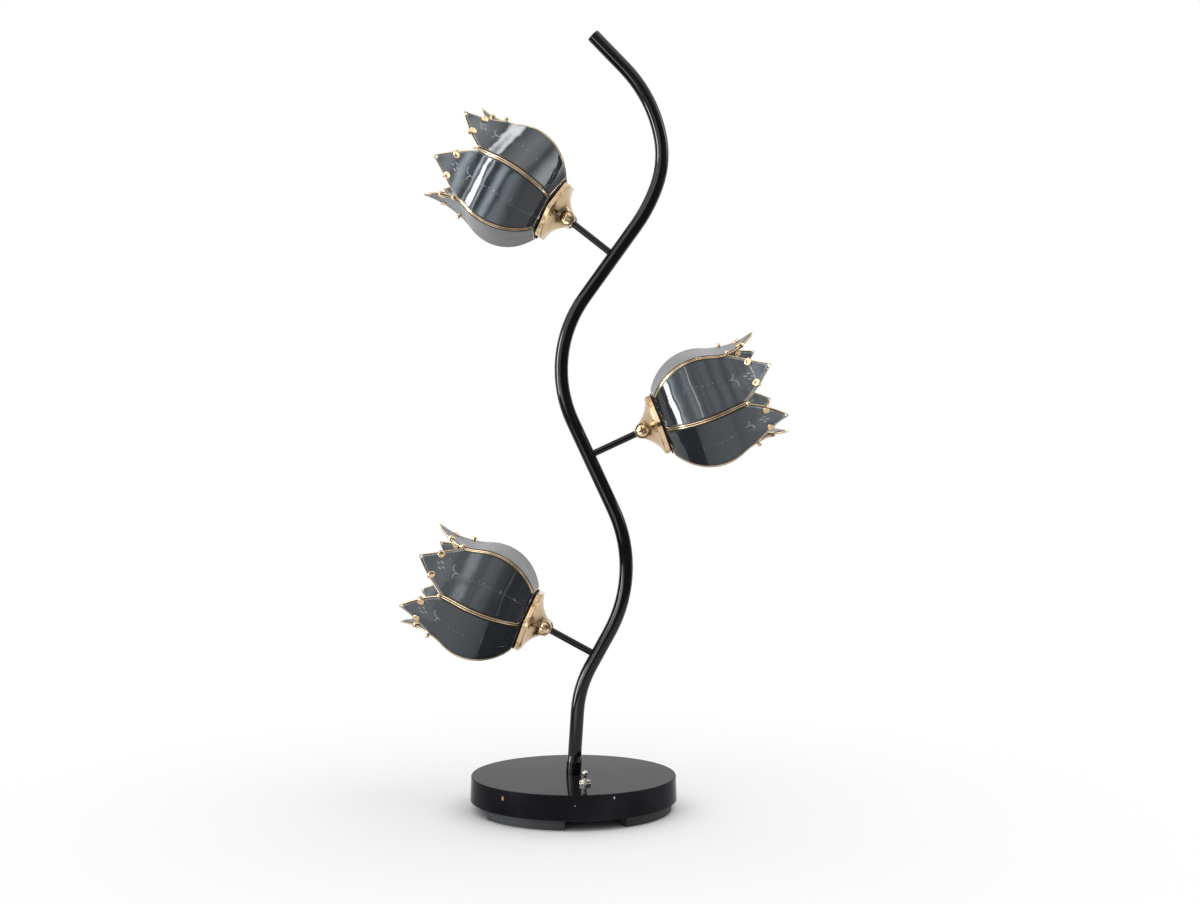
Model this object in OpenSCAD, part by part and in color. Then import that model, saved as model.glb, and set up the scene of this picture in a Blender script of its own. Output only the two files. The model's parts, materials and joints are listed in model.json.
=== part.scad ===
// Lotus table lamp: a bent tube stem on a round base carries three tilting glass flower heads.
// Frame in mm: origin on the floor under the middle of the outline, +Z up, -Y to the viewer, +X right.

/* [Base] */
// Diameter of the lacquered top
base_d = 190; // [180:1:210]
// Height of the lacquered wall
base_wall_h = 22; // [21:0.5:28]
// How much wider the wall is at its lower edge, on the radius
base_draft = 0.8; // [0.2:0.1:2]
// Sheet thickness of the base shell
base_skin = 2.5; // [2:0.1:3]
// Height of the arc feet below the shell
foot_h = 9.5; // [7:0.5:14]
// Angle covered by each arc foot
foot_arc = 54; // [44:1:66]
// Bearing of the first arc foot
foot_bearing = 59; // [45:1:75]
// How far the feet stand in from the edge
foot_inset = 5; // [3:0.5:7]
// Bore of the cord inlet bush at the rear
cord_bore = 6.4; // [5:0.1:7]

/* [Switch] */
// Sideways place of the toggle switch
switch_x = 11; // [-10:0.5:16]
// Distance of the toggle switch in front of the centre
switch_reach = 46; // [42:0.5:54]
// Full throw of the toggle lever
toggle_throw = 24; // [16:1:26]
// Height of the lever end above the base top
toggle_h = 12.9; // [10:0.1:16]
// Ball end of the lever
toggle_ball_d = 5; // [4:0.1:6]

/* [Stem] */
// Height of the whole lamp
lamp_h = 722; // [705:1:745]
// Outer diameter of the stem tube
stem_d = 12.7; // [12:0.1:14]
// Wall of the stem tube
stem_wall = 1.2; // [1:0.1:1.6]
// Lean at the foot, then the three lower bends
stem_turns = [-3.7, -25.2, 53.8, -60.6]; // [-70:0.1:70]
// Radii of those bends
stem_radii = [100, 100, 126, 115]; // [80:1:140]
// Straight runs from the foot up to the crown; the height of the lamp stretches them alike
stem_runs = [51.692, 36, 90.2, 81.2]; // [30:0.001:100]
// Crown bend, wound in three steps
crown_turns = [16, 29.6, 34.2]; // [10:0.1:40]
// Radii of the crown steps
crown_radii = [150, 88, 125]; // [80:1:160]
// Straight end of the tube
crown_run = 41; // [25:0.5:60]
// Outer diameter of the sleeve at the foot
sleeve_d = 14.2; // [13.7:0.1:18]
// Height of the sleeve
sleeve_h = 17; // [14:0.5:22]

/* [Arms] */
// Diameter of the arms
arm_d = 6.35; // [6:0.05:7]
// Stem centre line to tilt pivot
arm_l = 55; // [50:0.5:70]
// Place of the top, middle and bottom arm along its straight run
arm_at = [47.4, 55.2, 11.6]; // [10:0.1:60]
// Rise of the top, middle and bottom arm
arm_lift = [38.5, 25, 28]; // [15:0.5:45]
// Sweep of the top, middle and bottom arm away from the viewer
arm_sweep = [7, 0, 5]; // [0:1:20]

/* [Heads] */
// Droop of the top, middle and bottom head below its arm
head_droop = [7.2, 4.2, 5.1]; // [0:0.1:20]
// Turn of the top, middle and bottom petal set about its own axis
petal_roll = [-17, -18, 25]; // [-30:1:30]
// Tilt stop on either side of the arm line
tilt_stop = 25; // [10:1:28]
// Tilt pivot to the middle of the calyx rim
rim_z = 15.4; // [14.5:0.1:18]
// Thickness of the calyx rim
rim_t = 4.1; // [3:0.1:5]
// Width of the calyx rim across flats
rim_flats = 56; // [53:0.5:58]
// Shank of the pivot screw
pivot_d = 5; // [4:0.1:5.4]
// Head of the pivot screw
screw_head_d = 11; // [9:0.1:11.6]

/* [Petals] */
// Thickness of the glass
glass_t = 2.4; // [2:0.1:3]
// Bend radius of the bulb part, on the outer face
bulb_r = 50.1; // [47:0.1:54]
// Height of the bulb bend centre above the pivot
bulb_z = 62; // [59:0.1:65]
// Distance of the petal foot from the head axis
petal_foot = 29.3; // [28:0.1:31]
// Angle at which the bulb turns into the flare
flare_start = 21.8; // [17:0.1:26]
// Bend radius of the flare, on the outer face
flare_r = 54; // [48:0.5:62]
// Height of the petal tip above the pivot
tip_z = 129.4; // [124:0.2:134]
// How far the blunt glass tip stays below the wire's tip
tip_short = 5.2; // [4:0.1:7]
// Height at which the tip edges start
shoulder_z = 92.8; // [89:0.2:96]
// Half width of the petal there
shoulder_w = 26.8; // [25:0.2:29]
// Radius of the curved tip edges
edge_r = 300; // [200:10:400]
// Wire around each petal
wire_d = 1.8; // [1.4:0.1:2.2]
// Discs of the petal clips
clip_d = 7; // [6:0.1:8]
// Height of the clips above the pivot
clip_z = 112; // [108:0.5:115]
// Ball beads on the outside of the seams
bead_d = 4; // [3:0.1:5]

/* [Hidden] */
$fn = 64;

// Clearances: running fit of a pin, air between moving pieces, assembly fit
run_gap = 0.05;
air_gap = 0.35;
seat_gap = 0.05;

// Overlap of joined lengths and the step between their surfaces
lap = 0.3;
lap_step = 0.02;

// Base; its centre is set off so that the whole outline is centred on the origin
base_x = -18.7;
base_top_z = foot_h + base_wall_h;
base_r = base_d / 2;
base_low_r = base_r + base_draft;
inner_r = base_r - base_skin;
roof_z = base_top_z - base_skin;
cover_t = 2;
cover_r = inner_r - 0.3;
cover_top = foot_h + cover_t;
weight_t = 5;
weight_r = base_r - 19;
weight_hole_r = 24;
post_d = 9;
foot_out_r = base_low_r - foot_inset;
foot_in_r = foot_out_r - 14;
post_at = (foot_out_r + foot_in_r) / 2;
foot_web = 1.6;
foot_end_r = 3;
cover_screw_d = 3.5;
cover_screw_head_d = 7;
cover_screw_h = 12;
cord_bush_d = cord_bore + 4.4;
cord_bush_neck_d = cord_bore + 2.4;
cord_z = foot_h + base_wall_h * 0.52;

// Switch
bush_d = 7.8;
bush_h = 3.6;
lever_ball_d = 5.6;
lever_neck_d = 2.9;
lever_pin_d = 1.6;
lip_d = 4.9;
lip_t = 0.7;
pivot_up = 1.2;
switch_nut_d = 10.6;
switch_nut_h = 3.2;
switch_box = [13, 13, 8.5];
tail_l = 4.6;
terminal_l = 5;
box_room = 2;

// Stem
stem_bore = stem_d - 2 * stem_wall;
stem_drop = 16.5;
stem_hole_d = stem_d + 0.2;
washer_d = 24;
washer_t = 1.6;
locknut_d = 21;
locknut_h = 6;
plug_t = 1.2;
plug_l = 9;
wire_hole = 4;
foot_arc_l = abs(stem_turns[0]) * PI / 180 * stem_radii[0];
sleeve_taper = 5.5;
plug_in = 0.2;
turns = concat(stem_turns, crown_turns);
radii = concat(stem_radii, crown_radii);

// Heading of run i, measured from +X in the X-Z plane, and what each bend and run adds to the height
function heading(i) = i == 0 ? 90 : heading(i - 1) + turns[i - 1];
function bend_rise(i) = sign(turns[i]) * radii[i] * (cos(heading(i)) - cos(heading(i + 1)));
function run_rise(i) = stem_runs[i] * sin(heading(i + 1));
function sum(v, i = 0) = i == len(v) ? 0 : v[i] + sum(v, i + 1);
end_a = heading(7);
end_rise = (crown_run + plug_t) * sin(end_a) + (stem_d / 2 - plug_in) * abs(cos(end_a));
bends_rise = sum([for (i = [0 : 6]) bend_rise(i)]) + end_rise;
run_stretch = (lamp_h - base_top_z - bends_rise) / sum([for (i = [0 : 3]) run_rise(i)]);
runs = run_stretch * stem_runs;

segs = [
    [0, radii[0], turns[0]],
    [runs[0], radii[1], turns[1]],
    [runs[1], radii[2], turns[2]],
    [runs[2], radii[3], turns[3]],
    [runs[3], radii[4], turns[4]],
    [0, radii[5], turns[5]],
    [0, radii[6], turns[6]],
    [crown_run, 0, 0]
];

function along(a) = [cos(a), 0, sin(a)];
function aside(a) = [-sin(a), 0, cos(a)];
function run_end(i) = run_start(i) + segs[i][0] * along(heading(i));
function bend_hub(i) = run_end(i) + sign(segs[i][2]) * segs[i][1] * aside(heading(i));
function run_start(i) = i == 0 ? [base_x, 0, base_top_z]
    : bend_hub(i - 1) - sign(segs[i - 1][2]) * segs[i - 1][1] * aside(heading(i));

// Heads: 0 top (left), 1 middle (right), 2 bottom (left)
function arm_run(k) = 4 - k;
function on_left(k) = k != 1;
function arm_root(k) = run_start(arm_run(k)) + arm_at[k] * along(heading(arm_run(k)));
function arm_turn(k) = on_left(k) ? 180 - arm_sweep[k] : arm_sweep[k];
function arm_dir(k) = [
    cos(arm_turn(k)) * cos(arm_lift[k]),
    sin(arm_turn(k)) * cos(arm_lift[k]),
    sin(arm_lift[k])
];
function pivot_at(k) = arm_root(k) + arm_l * arm_dir(k);

// Calyx and pivot
eye_r = 5.4;
pocket_r = eye_r + air_gap;
slot_w = arm_d + 2 * air_gap;
drum_r = 7.2;
drum_half = 9.4;
seat_y = 8;
seat_d = screw_head_d + 1.6;
flare_c = [34, -18.4];
flare_cut_r = 31.6;
apex_z = 0.9 - drum_r;
rim_back = rim_z - rim_t / 2;
rim_front = rim_z + rim_t / 2;
rim_corner = 1.2;
nipple_d = 10;
nipple_z = 9;
groove_w = 2.6;
dome_h = 3.6;
screw_end = 8.6;
recess_w = 1.5;
recess_l = 7;

// Petal plate, lamp holder and bulb
plate_t = 2.2;
plate_rim = 1;
plate_z = rim_front;
plate_top = plate_z + plate_t;
holder_d = 21;
holder_h = 27;
holder_bore = 14.4;
cap_d = 13.8;
cap_h = 15;
cap_z = plate_top + holder_h - 14;
bulb_d = 22;
bulb_l = 54;

// Petals: bend centres, mid surface radii and edge arc
glass_low = plate_top + wire_d + 2 * seat_gap;
mid_1 = bulb_r - glass_t / 2;
mid_2 = flare_r + glass_t / 2;
low_a = asin((glass_low - bulb_z) / mid_1);
hub_1 = [petal_foot - mid_1 * cos(low_a), bulb_z];
hub_2 = hub_1 + (bulb_r + flare_r) * [cos(flare_start), sin(flare_start)];
edge_mid = [shoulder_w / 2, (shoulder_z + tip_z) / 2];
edge_run = [-shoulder_w, tip_z - shoulder_z];
edge_hub = edge_mid
    - sqrt(pow(edge_r, 2) - pow(norm(edge_run) / 2, 2)) * [edge_run[1], -edge_run[0]] / norm(edge_run);
wire_r = wire_d / 2;
seam_in = wire_r + seat_gap;
glass_in = wire_d + seat_gap;
glass_seam = 2 * seam_in / cos(30);
clip_t = 0.8;
clip_w = 2.4;
clip_shift = clip_d / 2 - wire_r;
clip_lift = glass_t / 2 + seat_gap + pow(clip_d / 2, 2) / (2 * flare_r);
plate_half = (hub_1[0] + bulb_r) * tan(30) + glass_t;
tip_over = 2 * glass_t;
beyond = 1.3 * tip_z;
bead_r = bead_d / 2;

// Wire path on the mid surface of a petal
wire_a = low_a - asin((wire_r + seat_gap) / mid_1);
tip_wire_z = edge_hub[1] + sqrt(pow(edge_r - wire_r, 2) - pow(edge_hub[0], 2));
function flare_b(z) = 180 - asin((z - hub_2[1]) / mid_2);
function edge_y(z) = edge_hub[0] + sqrt(pow(edge_r - wire_r, 2) - pow(z - edge_hub[1], 2));
function seam_y(p) = p[0] * tan(30) - seam_in / cos(30);
function wire_y(p) = max(0, min(seam_y(p), edge_y(p[1])));
function bulb_pt(a) = hub_1 + mid_1 * [cos(a), sin(a)];
function flare_pt(b) = hub_2 + mid_2 * [cos(b), sin(b)];
tip_b = flare_b(tip_wire_z);

// The line up the middle of a petal: u runs from 0 to 1 over the bulb and from 1 to 2 over the flare
function bulb_a(u) = wire_a + (flare_start - wire_a) * u;
function flare_a(u) = 180 + flare_start + (tip_b - 180 - flare_start) * (u - 1);
function line_pt(u) = u < 1 ? bulb_pt(bulb_a(u)) : flare_pt(flare_a(u));
function line_out(u) = u < 1 ? [cos(bulb_a(u)), sin(bulb_a(u))] : -[cos(flare_a(u)), sin(flare_a(u))];

// Where the seam turns into the tip edge, found by halving
function past_seam(u) = seam_y(line_pt(u)) > edge_y(line_pt(u)[1]);
function halve(low, high, n) =
    let (m = (low + high) / 2)
    n == 0 ? m : past_seam(m) ? halve(low, m, n - 1) : halve(m, high, n - 1);
corner_u = halve(0.5, 2, 30);
corner_pt = line_pt(corner_u);
half_path = concat(
    [for (i = [0 : 13]) let (u = corner_u * i / 14) [line_pt(u), line_out(u)]],
    [for (i = [0 : 8]) let (u = corner_u + (2 - corner_u) * i / 8) [line_pt(u), line_out(u)]]
);
half_n = len(half_path);
function on_side(h, s) = [h[0][0], s * wire_y(h[0]), h[0][1]];
function out_of(h) = [h[1][0], 0, h[1][1]];
loop = concat(
    [for (i = [0 : half_n - 1]) [on_side(half_path[i], 1), out_of(half_path[i])]],
    [for (i = [half_n - 2 : -1 : 0]) [on_side(half_path[i], -1), out_of(half_path[i])]]
);
loop_n = len(loop);
wire_sides = 6;
function unit(v) = v / norm(v);
function step_at(i) = unit(loop[(i + 1) % loop_n][0] - loop[(i + loop_n) % loop_n][0]);
function loop_ring(i) =
    let (
        d1 = step_at((i + loop_n - 1) % loop_n),
        d2 = step_at(i),
        t = unit(d1 + d2),
        b = unit(cross(t, loop[i][1])),
        n = cross(b, t),
        m = min(2, 1 / sqrt((1 + d1 * d2) / 2))
    )
    [for (j = [0 : wire_sides - 1])
        let (q = 360 * j / wire_sides)
        loop[i][0] + wire_r * (cos(q) * n + m * sin(q) * b)];
wire_points = [for (i = [0 : loop_n - 1]) each loop_ring(i)];
wire_faces = [for (i = [0 : loop_n - 1], j = [0 : wire_sides - 1])
    let (
        i2 = (i + 1) % loop_n,
        j2 = (j + 1) % wire_sides,
        p = i * wire_sides,
        p2 = i2 * wire_sides
    )
    each [[p + j, p2 + j2, p2 + j], [p + j, p + j2, p2 + j2]]];

// Colours
lacquer = [0.05, 0.05, 0.06];
brass = [0.83, 0.66, 0.40];
smoke = [0.30, 0.32, 0.34];
nickel = [0.72, 0.68, 0.60];
steel = [0.55, 0.56, 0.58];
mould = [0.12, 0.12, 0.12];
ceramic = [0.90, 0.88, 0.82];
pearl = [0.96, 0.95, 0.90];

// Helpers

module at_base(z) {
    translate([base_x, 0, z]) children();
}

module at_post(i) {
    rotate([0, 0, foot_bearing + 90 * i]) translate([post_at, 0, 0]) children();
}

module along_run(i) {
    translate(run_start(i)) rotate([0, 90 - heading(i), 0]) children();
}

// Bent piece of tube; over lengthens both ends
module bend_tube(i, d, bore, over) {
    t = segs[i][2];
    from = t > 0 ? heading(i) - 90 : heading(i) + 90 + t;
    more = over / segs[i][1] * 180 / PI;
    translate(bend_hub(i)) rotate([90, 0, 0]) rotate([0, 0, from - more])
        rotate_extrude(angle = abs(t) + 2 * more) translate([segs[i][1], 0]) difference() {
            circle(d = d);
            circle(d = bore);
        }
}

module tube(d, bore, h) {
    linear_extrude(height = h) difference() {
        circle(d = d);
        circle(d = bore);
    }
}

// Arm frame: +Z along the arm, pivot axis along Y with the screw head on -Y
module at_arm(k) {
    translate(pivot_at(k)) rotate([0, 0, arm_turn(k)]) rotate([0, 90 - arm_lift[k], 0])
        rotate([0, 0, on_left(k) ? 180 : 0]) children();
}

// Head frame: the arm frame tilted about the pivot axis by the droop
module at_head(k) {
    translate(pivot_at(k)) rotate([0, 0, arm_turn(k)]) rotate([0, 90 - arm_lift[k] + head_droop[k], 0])
        rotate([0, 0, on_left(k) ? 180 : 0]) children();
}

module at_petal(k, i) {
    at_head(k) rotate([0, 0, petal_roll[k] - 90 + 60 * i]) children();
}

// Base pieces

module shell_profile() {
    difference() {
        polygon([
            [0, roof_z], [inner_r, roof_z], [inner_r + base_draft, foot_h], [base_low_r, foot_h],
            [base_r, base_top_z - 0.6], [base_r - 0.6, base_top_z], [0, base_top_z]
        ]);
    }
}

module base_shell() color(lacquer) at_base(0) difference() {
    union() {
        rotate_extrude() shell_profile();
        for (i = [0 : 3]) at_post(i)
            translate([0, 0, cover_top]) cylinder(d = post_d, h = roof_z - cover_top + 0.5);
    }
    translate([0, 0, roof_z - 1]) cylinder(d = stem_hole_d, h = base_skin + 2);
    translate([switch_x, -switch_reach, roof_z - 1]) cylinder(d = bush_d + 0.3, h = base_skin + 2);
    for (i = [0 : 3]) at_post(i) translate([0, 0, cover_top - 1]) cylinder(d = cover_screw_d - 0.5, h = 9);
    translate([0, inner_r - 6, cord_z]) rotate([-90, 0, 0]) cylinder(d = cord_bush_neck_d + 0.1, h = 20);
}

module base_weight() color(steel) at_base(cover_top) difference() {
    cylinder(r = weight_r, h = weight_t);
    translate([0, 0, -1]) cylinder(r = weight_hole_r, h = weight_t + 2);
    translate([
        switch_x - switch_box[0] / 2 - box_room,
        -switch_reach - switch_box[1] / 2 - box_room,
        -1
    ]) cube([switch_box[0] + 2 * box_room, switch_box[1] + 2 * box_room, weight_t + 2]);
}

module base_cover() color(mould) at_base(foot_h) difference() {
    cylinder(r = cover_r, h = cover_t);
    for (i = [0 : 3]) at_post(i) translate([0, 0, -1]) cylinder(d = cover_screw_d + 0.4, h = cover_t + 2);
}

module arc_foot() {
    difference() {
        rotate([0, 0, -foot_arc / 2]) rotate_extrude(angle = foot_arc) translate([foot_in_r + lap_step, 0])
            square([foot_out_r - foot_in_r - 2 * lap_step, foot_h - foot_web + lap]);
        translate([post_at, 0, -1]) cylinder(d = cover_screw_head_d + 0.6, h = foot_h - foot_web - 1);
    }
}

module foot_ring() color(mould) at_base(0) difference() {
    union() {
        translate([0, 0, foot_h - foot_web]) difference() {
            cylinder(r = foot_out_r, h = foot_web);
            translate([0, 0, -1]) cylinder(r = foot_in_r, h = foot_web + 2);
        }
        for (i = [0 : 3]) rotate([0, 0, foot_bearing + 90 * i]) arc_foot();
    }
    for (i = [0 : 3]) at_post(i) translate([0, 0, -1]) cylinder(d = cover_screw_d + 0.4, h = foot_h + 2);
}

module cover_screws() color(steel) at_base(0) for (i = [0 : 3]) at_post(i) {
    translate([0, 0, foot_h - foot_web - 4.4]) difference() {
        union() {
            cylinder(d = cover_screw_head_d, h = 2.4);
            cylinder(d = cover_screw_d - 0.5, h = cover_screw_h);
        }
        translate([-3, -0.5, -1]) cube([6, 1, 2]);
    }
}

module cord_bush() color(mould) at_base(cord_z) translate([0, inner_r, 0]) rotate([-90, 0, 0]) difference() {
    union() {
        translate([0, 0, -3]) cylinder(d = cord_bush_d, h = 2.6);
        translate([0, 0, -1]) cylinder(d = cord_bush_neck_d, h = base_skin + 4);
        translate([0, 0, base_skin + base_draft + 0.1]) cylinder(d = cord_bush_d, h = 2.4);
    }
    translate([0, 0, -5]) cylinder(d = cord_bore, h = base_skin + 14);
}

// Stem pieces

module stem_run(i) {
    reach = segs[i][0] + lap + (i == 7 ? 0 : lap);
    along_run(i) translate([0, 0, -lap]) tube(stem_d - 2 * lap_step, stem_bore + 2 * lap_step, reach);
}

module stem() color(lacquer) difference() {
    union() {
        at_base(base_top_z - stem_drop)
            tube(stem_d - 2 * lap_step, stem_bore + 2 * lap_step, stem_drop + lap);
        for (i = [0, 1, 2, 3, 4, 6]) bend_tube(i, stem_d, stem_bore, 0);
        bend_tube(5, stem_d - 2 * lap_step, stem_bore + 2 * lap_step, lap);
        for (i = [1, 2, 3, 4, 7]) stem_run(i);
    }
    for (k = [0 : 2]) at_arm(k) translate([0, 0, -arm_l]) cylinder(d = wire_hole, h = stem_d);
}

module stem_sleeve() color(lacquer) union() {
    bend_tube(0, sleeve_d, stem_d + 2 * lap_step, 0);
    along_run(1) rotate_extrude() polygon([
        [stem_d / 2 + 2 * lap_step, -lap], [sleeve_d / 2 - lap_step, -lap],
        [sleeve_d / 2 - lap_step, sleeve_h - sleeve_taper - foot_arc_l],
        [stem_d / 2 + 0.2, sleeve_h - foot_arc_l],
        [stem_d / 2 + 2 * lap_step, sleeve_h - foot_arc_l]
    ]);
}

module stem_washer() color(steel) at_base(roof_z - washer_t)
    tube(washer_d, stem_hole_d, washer_t);

module stem_locknut() color(brass) at_base(roof_z - washer_t - locknut_h) difference() {
    cylinder(d = locknut_d, h = locknut_h, $fn = 6);
    translate([0, 0, -1]) cylinder(d = stem_d, h = locknut_h + 2);
}

module stem_plug() color(lacquer) along_run(7) translate([0, 0, crown_run]) union() {
    cylinder(d = stem_d - 2 * plug_in, h = plug_t);
    translate([0, 0, -plug_l]) cylinder(d = stem_bore, h = plug_l + 0.5);
}

// Arms

module arm(k) color(lacquer) difference() {
    at_arm(k) difference() {
        union() {
            translate([0, 0, -arm_l]) cylinder(d = arm_d, h = arm_l);
            translate([0, arm_d / 2, 0]) rotate([90, 0, 0]) cylinder(r = eye_r, h = arm_d);
        }
        translate([0, 0, -arm_l - 1]) cylinder(d = wire_hole, h = arm_l - 10);
        translate([0, 0, -13]) rotate([-90, 0, 0]) cylinder(d = wire_hole - 0.6, h = arm_d);
        translate([0, arm_d, 0]) rotate([90, 0, 0]) cylinder(d = pivot_d + 2 * run_gap, h = 2 * arm_d);
    }
    along_run(arm_run(k)) translate([0, 0, arm_at[k] - 30]) cylinder(d = stem_d, h = 60);
}

module arm_top() arm(0);
module arm_middle() arm(1);
module arm_bottom() arm(2);

// Switch

module at_switch() {
    at_base(base_top_z) translate([switch_x, -switch_reach, 0]) children();
}

module switch_body() color(nickel) at_switch() difference() {
    union() {
        translate([0, 0, -base_skin - 1]) cylinder(d = bush_d, h = bush_h + base_skin + 1);
        translate([-switch_box[0] / 2, -switch_box[1] / 2, -base_skin - switch_box[2]]) cube(switch_box);
        for (s = [-4, 0, 4]) translate([-1.2, s - 0.5, -base_skin - switch_box[2] - terminal_l])
            cube([2.4, 1, terminal_l + 1]);
    }
    translate([0, 0, pivot_up - 6.4])
        cylinder(d = lever_ball_d + 2 * run_gap, h = bush_h - lip_t - pivot_up + 6.4);
    translate([0, 0, pivot_up]) cylinder(d = lip_d, h = 6);
    translate([0, 0, pivot_up]) rotate([0, 90, 0])
        cylinder(d = lever_pin_d + 2 * run_gap, h = bush_d + 2, center = true);
}

module switch_nut() color(nickel) at_switch() difference() {
    union() {
        cylinder(d = switch_nut_d, h = 1.3);
        cylinder(d = switch_nut_d - 1.2, h = 1.9);
        translate([0, 0, 1.8]) cylinder(d = switch_nut_d - 0.3, h = switch_nut_h - 1.8);
    }
    translate([0, 0, -1]) cylinder(d = bush_d, h = switch_nut_h + 2);
}

module at_lever() {
    at_switch() translate([0, 0, pivot_up]) rotate([toggle_throw / 2, 0, 0]) children();
}

module toggle_lever() color(nickel) at_lever() union() {
    sphere(d = lever_ball_d);
    rotate([0, 90, 0]) cylinder(d = lever_pin_d, h = bush_d - 2 * air_gap, center = true);
    translate([0, 0, -tail_l]) cylinder(d = 2, h = tail_l);
    cylinder(d1 = lever_neck_d - 0.4, d2 = lever_neck_d + 0.6, h = toggle_h - pivot_up - toggle_ball_d / 2);
    translate([0, 0, toggle_h - pivot_up - toggle_ball_d / 2]) sphere(d = toggle_ball_d);
}

// Heads

module hex_rim() {
    translate([0, 0, rim_back]) linear_extrude(height = rim_t) intersection() {
        rotate(30) circle(r = rim_flats / 2 / cos(30), $fn = 6);
        circle(r = (rim_flats / 2 / cos(30) - rim_corner) / cos(30), $fn = 6);
    }
}

module trumpet() {
    rotate_extrude() difference() {
        translate([0, apex_z]) square([rim_flats / 2 - 0.4, rim_back - apex_z + 1]);
        translate(flare_c) circle(r = flare_cut_r, $fn = 96);
    }
}

module slot_wedge() {
    reach = 30;
    side = (arm_d / 2 + air_gap) / cos(tilt_stop);
    rotate([90, 0, 0]) linear_extrude(height = slot_w, center = true) polygon([
        [-side, 0], [side, 0],
        [side + reach * tan(tilt_stop), -reach], [-side - reach * tan(tilt_stop), -reach]
    ]);
}

module calyx(k) color(brass) at_head(k) difference() {
    union() {
        hex_rim();
        trumpet();
        translate([0, drum_half, 0]) rotate([90, 0, 0]) cylinder(r = drum_r, h = 2 * drum_half);
    }
    translate([0, slot_w / 2, 0]) rotate([90, 0, 0]) cylinder(r = pocket_r, h = slot_w);
    slot_wedge();
    translate([0, 40, 0]) rotate([90, 0, 0]) cylinder(d = pivot_d + 2 * seat_gap, h = 80);
    translate([0, -seat_y, 0]) rotate([90, 0, 0]) cylinder(d = seat_d, h = 30);
    translate([0, screw_end + 0.4, 0]) rotate([-90, 0, 0]) cylinder(d = seat_d, h = 30);
    translate([-groove_w / 2, -24, 5]) cube([groove_w, 12, rim_back - 5]);
    translate([0, 0, nipple_z]) cylinder(d = nipple_d, h = 30);
    translate([0, 0, 4]) cylinder(d = wire_hole, h = 10);
}

module pivot_screw(k) color(brass) at_head(k) difference() {
    union() {
        translate([0, screw_end, 0]) rotate([90, 0, 0]) cylinder(d = pivot_d, h = screw_end + seat_y + 0.5);
        translate([0, -seat_y, 0]) rotate([90, 0, 0]) intersection() {
            cylinder(d = screw_head_d, h = dome_h);
            translate([0, 0, dome_h - screw_head_d]) sphere(r = screw_head_d);
        }
    }
    translate([-recess_l / 2, -seat_y - dome_h - 1, -recess_w / 2]) cube([recess_l, 3, recess_w]);
    translate([-recess_w / 2, -seat_y - dome_h - 1, -recess_l / 2]) cube([recess_w, 3, recess_l]);
}

module plate(k) color(brass) at_head(k) rotate([0, 0, petal_roll[k]]) difference() {
    low = rim_flats / 2 - 4;
    high = hub_1[0] + mid_1 * cos(wire_a) + 0.6;
    union() {
        translate([0, 0, plate_z]) cylinder(r = low / cos(30), h = plate_t, $fn = 6);
        translate([0, 0, plate_top - plate_rim]) cylinder(r = high / cos(30), h = plate_rim, $fn = 6);
    }
    translate([0, 0, plate_z - 1]) cylinder(d = nipple_d, h = plate_t + 2);
}

module holder(k) color(ceramic) at_head(k) difference() {
    union() {
        translate([0, 0, nipple_z + 0.4]) cylinder(d = nipple_d - 2 * seat_gap, h = plate_top - nipple_z + 1);
        translate([0, 0, plate_top]) cylinder(d = holder_d, h = holder_h);
    }
    translate([0, 0, plate_top + 6]) cylinder(d = holder_bore, h = holder_h);
    translate([0, 0, nipple_z - 1]) cylinder(d = wire_hole + 2, h = 30);
}

module bulb(k) color(pearl) at_head(k) translate([0, 0, cap_z]) union() {
    cylinder(d = cap_d, h = cap_h);
    translate([0, 0, -1.5]) cylinder(d = 6, h = 2);
    translate([0, 0, cap_h - 0.5]) cylinder(d1 = cap_d - 1, d2 = bulb_d - 1, h = 9);
    translate([0, 0, cap_h + 17]) intersection() {
        translate([0, 0, 6]) sphere(d = bulb_d * 1.9);
        rotate_extrude() intersection() {
            translate([-bulb_d * 1.25, 0]) circle(r = bulb_d * 1.75);
            translate([0, -8.6]) square([bulb_d, bulb_l - 18]);
        }
    }
}

module wires(k) color(brass) for (i = [0 : 5]) at_petal(k, i) polyhedron(wire_points, wire_faces, 10);

module clip() {
    b = flare_b(clip_z);
    p = flare_pt(b);
    lean = atan2(edge_y(clip_z - 4) - edge_y(clip_z + 4), 8 / sin(b - 90));
    strap_y = wire_r + seat_gap;
    strap_t = clip_t / 2;
    translate([p[0], wire_y(p), p[1]]) rotate([0, 180 - b, 0]) rotate([lean, 0, 0]) union() {
        for (side = [0, 1]) mirror([side, 0, 0]) {
            translate([clip_lift, -clip_shift, 0]) rotate([0, 90, 0]) cylinder(d = clip_d, h = clip_t);
            translate([clip_lift + lap_step, -clip_shift, -clip_w / 2])
                cube([clip_t - 2 * lap_step, clip_shift + strap_y + strap_t - lap_step, clip_w]);
        }
        translate([-clip_lift - clip_t / 2, strap_y, -clip_w / 2 - lap_step])
            cube([2 * clip_lift + clip_t, strap_t, clip_w + 2 * lap_step]);
    }
}

// Ball in the valley between two wires, where their tip edges part
module bead() {
    n = unit([line_out(corner_u)[0], line_out(corner_u)[1] / cos(30)]);
    up = sqrt(pow(wire_r + bead_r + 3 * seat_gap, 2) - pow(seam_in, 2));
    translate([corner_pt[0] * cos(30) + seam_y(corner_pt) * sin(30) + up * n[0], 0, corner_pt[1] + up * n[1]])
        sphere(r = bead_r);
}

module clips(k) color(brass) for (i = [0 : 5]) at_petal(k, i) {
    clip();
    mirror([0, 1, 0]) clip();
    rotate([0, 0, 30]) bead();
}

// Bent plate of one petal, wider than the glass
module bend_plate(hub, r, t, half, from, to) {
    translate([hub[0], 0, hub[1]]) rotate([90, 0, 0]) rotate([0, 0, from])
        rotate_extrude(angle = to - from) translate([r, -half]) square([t, 2 * half]);
}

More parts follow.
